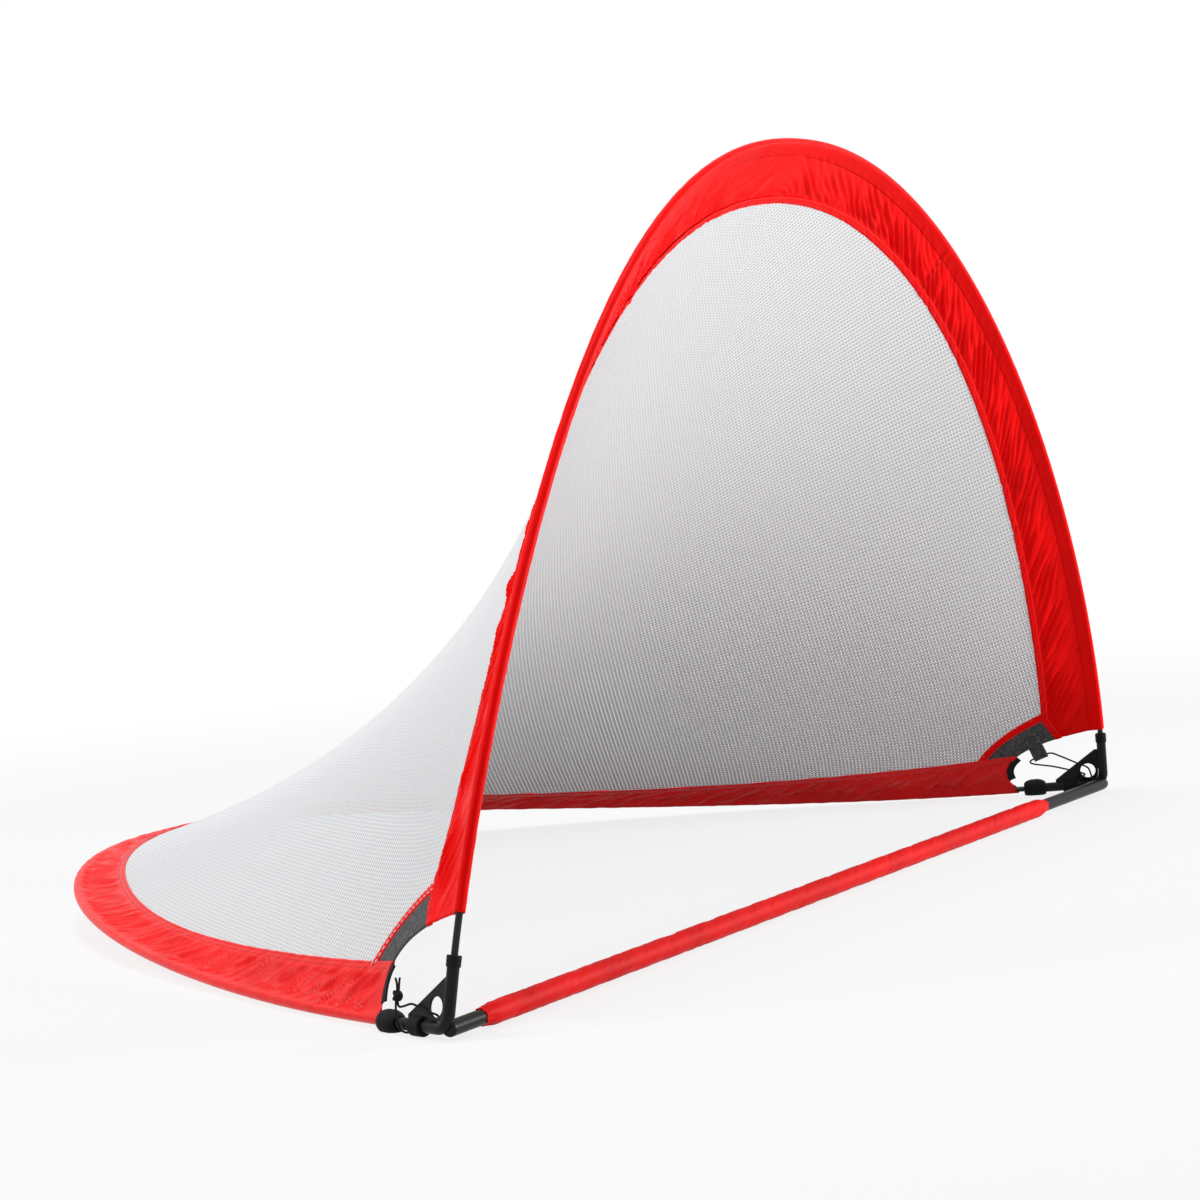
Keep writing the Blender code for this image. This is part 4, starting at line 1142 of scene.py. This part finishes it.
def add_rod_ends(front):
    """The rod lengths that show at the corners.

    Each is one tube from its stop in the socket, past the rubber, to a quarter of the rod's length.
    """
    path = rod_path(front)
    word = "front" if front else "rear"
    along = run(path)
    quarter = along[-1] / 4 - GAP
    for corner in CORNERS:
        rubber = (corner.front_length + GAP + COLLAR_WALL if front else BOOT_END) + ROD_PLAY
        reach = np.concatenate([np.linspace(0, rubber - ROD_STOP, 14),
                                np.linspace(rubber - ROD_STOP + 0.003, quarter, 56)])
        wanted = reach if corner.side > 0 else along[-1] - reach[::-1]
        points = read_path(path, along, wanted)
        rod = tube(f"{word}_round_rod_{corner.word}_lower", points, ROD_RADIUS, 20, FINISHES["black_rod"])
        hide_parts(f"{word}_rod_{corner.word}_lower")
        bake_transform(rod)


# The base bar

def add_bar_cover():
    """Padded cover round the bar: its radius falls at both ends, with folds, gathered ends and a seam."""
    low, high = -CORNER_X + COVER_LEFT_GAP, CORNER_X - COVER_RIGHT_GAP
    along = np.linspace(low, high, 620)
    turn = np.linspace(0, 2 * math.pi, 56, endpoint=False)
    ends = np.minimum(smooth_step(along, low, low + COVER_TAPER),
                      smooth_step(-along, -high, -high + COVER_TAPER))
    x, angle = np.meshgrid(along, turn, indexing="ij")
    least = BAR_RADIUS + 0.0008
    folds = 0.00035 * waves(x, angle * COVER_RADIUS, 0.05, 1.2, 11)
    folds = folds + 0.00025 * waves(x, angle * 0.01, 0.016, 2.0, 12)
    gather = (1 - ends[:, None]) * 0.0006 * np.cos(angle * 9 + 3 * np.sin(angle))
    seam = -0.0006 * np.exp(-((np.angle(np.exp(1j * (angle + 2.2))) / 0.07) ** 2))
    radius = least + (COVER_RADIUS - least) * ends[:, None] + np.minimum(folds, 0.0002) + gather + seam
    points = np.stack([x, radius * np.cos(angle), np.maximum(BAR_HEIGHT + radius * np.sin(angle), 0)], -1)
    faces = grid_faces(len(along), len(turn), True)
    uv = surface_uv(along, turn * COVER_RADIUS)
    cover = thicken(add_piece("bar_cover_cloth", points, faces, FINISHES["bar_nylon"], uv), COVER_THICKNESS)
    cover.modifiers["thickness"].offset = -1
    dress(cover, "base", "red_nylon", "bar_cover")


def add_bare_bars():
    """The bar's two lengths that show past the cover, each with a rounded outer end."""
    for corner in CORNERS:
        cover_end = CORNER_X - COVER_RIGHT_GAP if corner.side > 0 else -CORNER_X + COVER_LEFT_GAP
        inner = cover_end - corner.side * BAR_TUCK
        end = corner.side * (CORNER_X - BAR_END_GAP)
        rim = 1 - 0.002 * np.cos(np.radians(np.linspace(0, 90, 8)))[:-1]
        share = np.concatenate([np.linspace(0, 0.97, 20), rim, [1]])
        path = np.stack([inner + (end - inner) * share, 0 * share, 0 * share + BAR_HEIGHT], -1)
        radius = BAR_RADIUS - 0.003 * (1 - np.sqrt(1 - np.clip((share - 0.98) / 0.02, 0, 1) ** 6))
        bar = tube(f"{corner.word}_bare_bar", path, radius, 40, FINISHES["black_steel"])
        dress(bar, "base", "black_steel", f"{corner.word}_base_tube")


# Elastic cords, tail to tail, in millimetres along the front leg, along the rear leg and inwards

LEFT_CORD_ROUTE = (
    (50, 80, -12), (44, 81.5, -11), (37, 82.5, -10), (30, 82.5, -10), (23, 82.3, -10), (18.5, 79, -9.5),
    (20, 71, -8.5), (23, 60, -7), (20, 46, -5.5), (16.5, 34, -4.5), (15, 25, 0), (12, 27, 7), (8.5, 34, 12),
    (6, 44, 15), (4, 58, 15), (-1, 68, 11), (-7.6, 74, 5), (-8.9, 75, -1), (-5.5, 76, -7.6), (3, 78, -11),
    (13, 82.5, -11), (23, 85.7, -10), (30, 85.7, -10), (37, 85.7, -10), (44, 87, -10.5), (49, 89.5, -11),
)
RIGHT_CORD_ROUTE = (
    (-1, 50, 17), (1, 42, 16), (3, 34, 15.5), (3, 26, 15.5), (3, 19, 15.5), (9, 15.5, 13), (17, 18, 7),
    (21, 20, 0), (26, 24, -6), (34, 40, -7), (48, 62, -1), (57.5, 78, 6.2), (53, 93, 7), (48.5, 108, 7.8),
    (40, 106, 0), (30, 74, -8), (20, 42, -7), (17, 28, 0), (15, 34, 8), (9, 39.5, 12.5), (3, 34, 12.5),
    (3, 26, 12.5), (3, 20, 12.5), (0, 15.5, 13),
)
# Each knot's middle and the way that it lies
LEFT_KNOT = ((30, 84.1, -10), (1, 0, 0))
RIGHT_KNOT = ((3, 26, 14), (0, 1, 0))
KNOT_REACH = 0.0033
KNOT_LOBE = 0.0013
KNOT_RISE = 0.0042
KNOT_CORD_RADIUS = 0.0017


def add_cord(corner, route, knot):
    """Elastic cord on a smooth curve through its route's points, and the knot round its two ends."""
    places = np.array([corner.at(*(MILLIMETRE * value for value in point)) for point in route])
    path = refined(places, 12)
    curve = bpy.data.curves.new(f"{corner.word}_elastic", "CURVE")
    curve.dimensions = "3D"
    curve.bevel_depth = CORD_RADIUS
    curve.bevel_resolution = 4
    curve.use_fill_caps = True
    spline = curve.splines.new("POLY")
    spline.points.add(len(path) - 1)
    spline.points.foreach_set("co", np.concatenate([path, np.ones((len(path), 1))], axis=1).ravel())
    curve.materials.append(FINISHES["black_elastic"])
    cord = bpy.data.objects.new(f"{corner.word}_elastic", curve)
    bpy.context.scene.collection.objects.link(cord)
    dress(cord, "base", "black_elastic", f"{corner.word}_elastic_cord")
    tied = add_knot(corner, *knot)


def add_knot(corner, centre, axis):
    """Overhand knot: a lobed loop that goes twice round the cord while it rises and falls three times."""
    middle = corner.at(*(MILLIMETRE * value for value in centre))
    main = unit(corner.at(*axis) - corner.point)
    side = unit(np.cross(main, corner.inwards))
    turn = np.linspace(0, 2 * math.pi, 180, endpoint=False)[:, None]
    ring = KNOT_REACH + KNOT_LOBE * np.cos(3 * turn)
    loops = (middle + main * KNOT_RISE * np.sin(3 * turn) + side * ring * np.cos(2 * turn)
             + np.cross(main, side) * ring * np.sin(2 * turn))
    tied = ring_tube(f"{corner.word}_overhand_knot", loops, KNOT_CORD_RADIUS, 12, FINISHES["black_elastic"])
    dress(tied, "base", "black_elastic", f"{corner.word}_cord_knot")
    return tied


def add_tab(fabric):
    """Folded tape on the right strap's edge: flat at the strap, a half circle where it holds the cord."""
    middle = float(fabric.length(0)) / 2
    edge, above, below = fabric.at(np.zeros(3), middle + np.array([0, -TAB_HALF, TAB_HALF]))
    inside = fabric.at(0.012, float(fabric.length(0.012)) / 2)
    along = unit(below - above)
    outwards = unit(edge - inside)
    outwards = unit(outwards - along * (outwards @ along))
    lift = np.cross(along, outwards)
    bend = np.radians(np.linspace(-90, 90, 17))[1:-1]
    straight = np.linspace(-TAB_REACH, TAB_REACH, 18)
    height = TAB_FLAT + (TAB_LOOP - TAB_FLAT) * smooth_step(straight, 0.0, 0.012)
    shape = np.concatenate([np.stack([straight, -height], 1),
                            np.stack([TAB_REACH + TAB_LOOP * np.cos(bend), TAB_LOOP * np.sin(bend)], 1),
                            np.stack([straight, height], 1)[::-1]])
    across = np.linspace(-TAB_HALF, TAB_HALF, 9)
    points = (edge + outwards * 0.0018 + along * across[:, None, None] + outwards * shape[:, :1]
              + lift * shape[:, 1:])
    running = run(shape)
    faces = grid_faces(*points.shape[:2])
    tab = add_piece("right_cord_tab", points, faces, FINISHES["black_webbing"], surface_uv(across, running))
    dress(thicken(tab, TAB_THICKNESS), "base", "black_webbing", "right_strap_tab")


def add_end_patches(fabric):
    """Dark tape over the rear band's ends beside the boots, arched across its width like half a sine wave."""
    for side, word in ((1, "right"), (-1, "left")):
        share = 0.0 if side > 0 else 1.0
        inner = share + 0.012 * side
        width = float(fabric.band_width(share, False))
        down = float(fabric.length(share)) - np.linspace(2 * SLEEVE_RADIUS + 0.0035, width - 0.001, 26)
        edge = fabric.at(share, down)
        along = unit(np.gradient(edge, axis=0))
        away = edge - fabric.at(inner, down)
        away = unit(away - along * (away * along).sum(-1, keepdims=True))
        reach = np.linspace(-0.001, TAPE_REACH, 8)
        normals = fabric.normal(np.full(len(down), np.clip(share, 0.004, 0.996)), down)
        arched = TAPE_CROWN * np.sin(reach / TAPE_REACH * math.pi)
        points = edge + away * reach[:, None, None] + normals * arched[:, None, None]
        patch = add_piece(f"{word}_band_end_tape", points, grid_faces(*points.shape[:2]),
                          FINISHES["black_elastic"], surface_uv(reach, down))
        dress(thicken(patch, TAPE_THICKNESS), "rear_arch", "black_webbing", f"{word}_band_end_patch")


def finish_hidden_nodes():
    """Finishes for the model's own pieces inside the sleeves and the bar."""
    kinds = (("rod", "black_rod"), ("ferrule", "bare_steel"), ("weight", "bare_steel"),
             ("spigot", "bare_steel"), ("bar_pad", "grey_foam"))
    for name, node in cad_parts.items():
        for word, stuff in kinds:
            if word in name:
                node.data.materials.clear()
                node.data.materials.append(FINISHES[stuff])


# Floor, light and camera

CAMERA_PLACE = (-3.8421, -2.0065, 0.7039)
CAMERA_YAW = math.radians(58.753)
CAMERA_FALL = math.radians(3.918)
CAMERA_ROLL = math.radians(-4.348)
FOCAL_SHARE = 3335.2 / 1200
SENSOR = 36.0
LAMPS = (("right_front", (3.0, -4.2, 1.5), (0, 0.1, 0.5), 1.8, 250),
         ("left_back", (-3.0, 3.2, 3.4), (0, 0.4, 0.3), 1.2, 98),
         ("above", (-0.6, 0.4, 4.6), (0, 0.4, 0.2), 1.6, 85))
FLOOR_HALF = 30
FLOOR_DROP = 0.0004
FLOOR_FADE = (1.7, 3.6)
FLOOR_LEAST_FADE = 0.8


def add_camera():
    """Camera at the photograph's place: forward from its yaw and fall, then rolled about that line."""
    level = np.array([math.sin(CAMERA_YAW), math.cos(CAMERA_YAW), 0])
    forward = math.cos(CAMERA_FALL) * level - np.array([0, 0, math.sin(CAMERA_FALL)])
    right = np.array([math.cos(CAMERA_YAW), -math.sin(CAMERA_YAW), 0])
    up = np.cross(right, forward)
    across = math.cos(CAMERA_ROLL) * right + math.sin(CAMERA_ROLL) * up
    upwards = -math.sin(CAMERA_ROLL) * right + math.cos(CAMERA_ROLL) * up
    data = bpy.data.cameras.new("camera")
    data.sensor_width = SENSOR
    data.lens = SENSOR * FOCAL_SHARE
    camera = bpy.data.objects.new("camera", data)
    bpy.context.scene.collection.objects.link(camera)
    turn = Matrix([across, upwards, -forward]).transposed().to_4x4()
    camera.matrix_world = Matrix.Translation(Vector(CAMERA_PLACE)) @ turn
    bpy.context.scene.camera = camera


def add_lamp(name, place, aim, size, power):
    """Round lamp, its size across in metres and its power in watts."""
    data = bpy.data.lights.new(name, "AREA")
    data.shape = "DISK"
    data.size = size
    data.energy = power
    lamp = bpy.data.objects.new(name, data)
    lamp.location = place
    lamp.rotation_euler = (Vector(aim) - Vector(place)).to_track_quat("-Z", "Y").to_euler()
    bpy.context.scene.collection.objects.link(lamp)


def seen_rays(tree):
    """1 for rays from the camera, reflections and transmission, 0 for the light between surfaces."""
    rays = tree.nodes.new("ShaderNodeLightPath")
    total = rays.outputs["Is Camera Ray"]
    for kind in ("Is Glossy Ray", "Is Transmission Ray"):
        node = tree.nodes.new("ShaderNodeMath")
        node.operation = "ADD"
        node.use_clamp = True
        tree.links.new(total, node.inputs[0])
        tree.links.new(rays.outputs[kind], node.inputs[1])
        total = node.outputs[0]
    return total


def add_world():
    """Even cool light on the goal, and plain white where the camera sees past it."""
    world = bpy.data.worlds.new("studio")
    bpy.context.scene.world = world
    world.use_nodes = True
    tree = world.node_tree
    plain = tree.nodes["Background"]
    plain.inputs["Color"].default_value = (0.93, 0.96, 1.0, 1)
    plain.inputs["Strength"].default_value = 0.34
    white = tree.nodes.new("ShaderNodeBackground")
    white.inputs["Color"].default_value = (1, 1, 1, 1)
    mix = tree.nodes.new("ShaderNodeMixShader")
    tree.links.new(seen_rays(tree), mix.inputs["Fac"])
    tree.links.new(plain.outputs[0], mix.inputs[1])
    tree.links.new(white.outputs[0], mix.inputs[2])
    tree.links.new(mix.outputs[0], tree.nodes["World Output"].inputs["Surface"])


def add_floor():
    """Wide pale floor: it keeps the shadow near the goal and turns into the white round it further out."""
    made = Finish("floor", (0.70, 0.70, 0.70), 0.9, Specular_IOR_Level=0.1)
    tree = made.tree
    away = made.add("ShaderNodeVectorMath", operation="LENGTH")
    tree.links.new(made.where("Object"), away.inputs[0])
    fade = made.add("ShaderNodeMapRange", interpolation_type="SMOOTHSTEP")
    fade.inputs["From Min"].default_value, fade.inputs["From Max"].default_value = FLOOR_FADE
    fade.inputs["To Min"].default_value = FLOOR_LEAST_FADE
    tree.links.new(away.outputs["Value"], fade.inputs["Value"])
    both = made.add("ShaderNodeMath", operation="MULTIPLY")
    tree.links.new(fade.outputs["Result"], both.inputs[0])
    tree.links.new(seen_rays(tree), both.inputs[1])
    white = made.add("ShaderNodeEmission")
    white.inputs["Color"].default_value = (1, 1, 1, 1)
    mix = made.add("ShaderNodeMixShader")
    tree.links.new(both.outputs[0], mix.inputs["Fac"])
    tree.links.new(made.shader.outputs[0], mix.inputs[1])
    tree.links.new(white.outputs[0], mix.inputs[2])
    tree.links.new(mix.outputs[0], tree.nodes["Material Output"].inputs["Surface"])
    points = [(-FLOOR_HALF, -FLOOR_HALF, 0), (FLOOR_HALF, -FLOOR_HALF, 0), (FLOOR_HALF, FLOOR_HALF, 0),
              (-FLOOR_HALF, FLOOR_HALF, 0)]
    floor = add_piece("floor", points, [(0, 1, 2, 3)], made.material, smooth=False)
    floor.location.z = -FLOOR_DROP


def add_studio():
    scene = bpy.context.scene
    scene.view_settings.view_transform = "Standard"
    add_world()
    add_floor()
    for lamp in LAMPS:
        add_lamp(*lamp)


FABRIC = Fabric()
CORNERS = [Corner(1), Corner(-1)]
add_camera()
for corner, route, knot in zip(CORNERS, (RIGHT_CORD_ROUTE, LEFT_CORD_ROUTE), (RIGHT_KNOT, LEFT_KNOT)):
    add_cord(corner, route, knot)
add_sleeve(FABRIC, True)
add_sleeve(FABRIC, False)
add_net(FABRIC)
for corner in CORNERS:
    add_corner_cloth(FABRIC, corner.side, corner.word)
    add_corner_tube(corner)
    add_gusset(corner)
    add_welds(corner)
    add_rubber(corner)
add_tab(FABRIC)
add_end_patches(FABRIC)
add_rod_ends(True)
add_rod_ends(False)
add_bar_cover()
add_bare_bars()
finish_hidden_nodes()
add_studio()
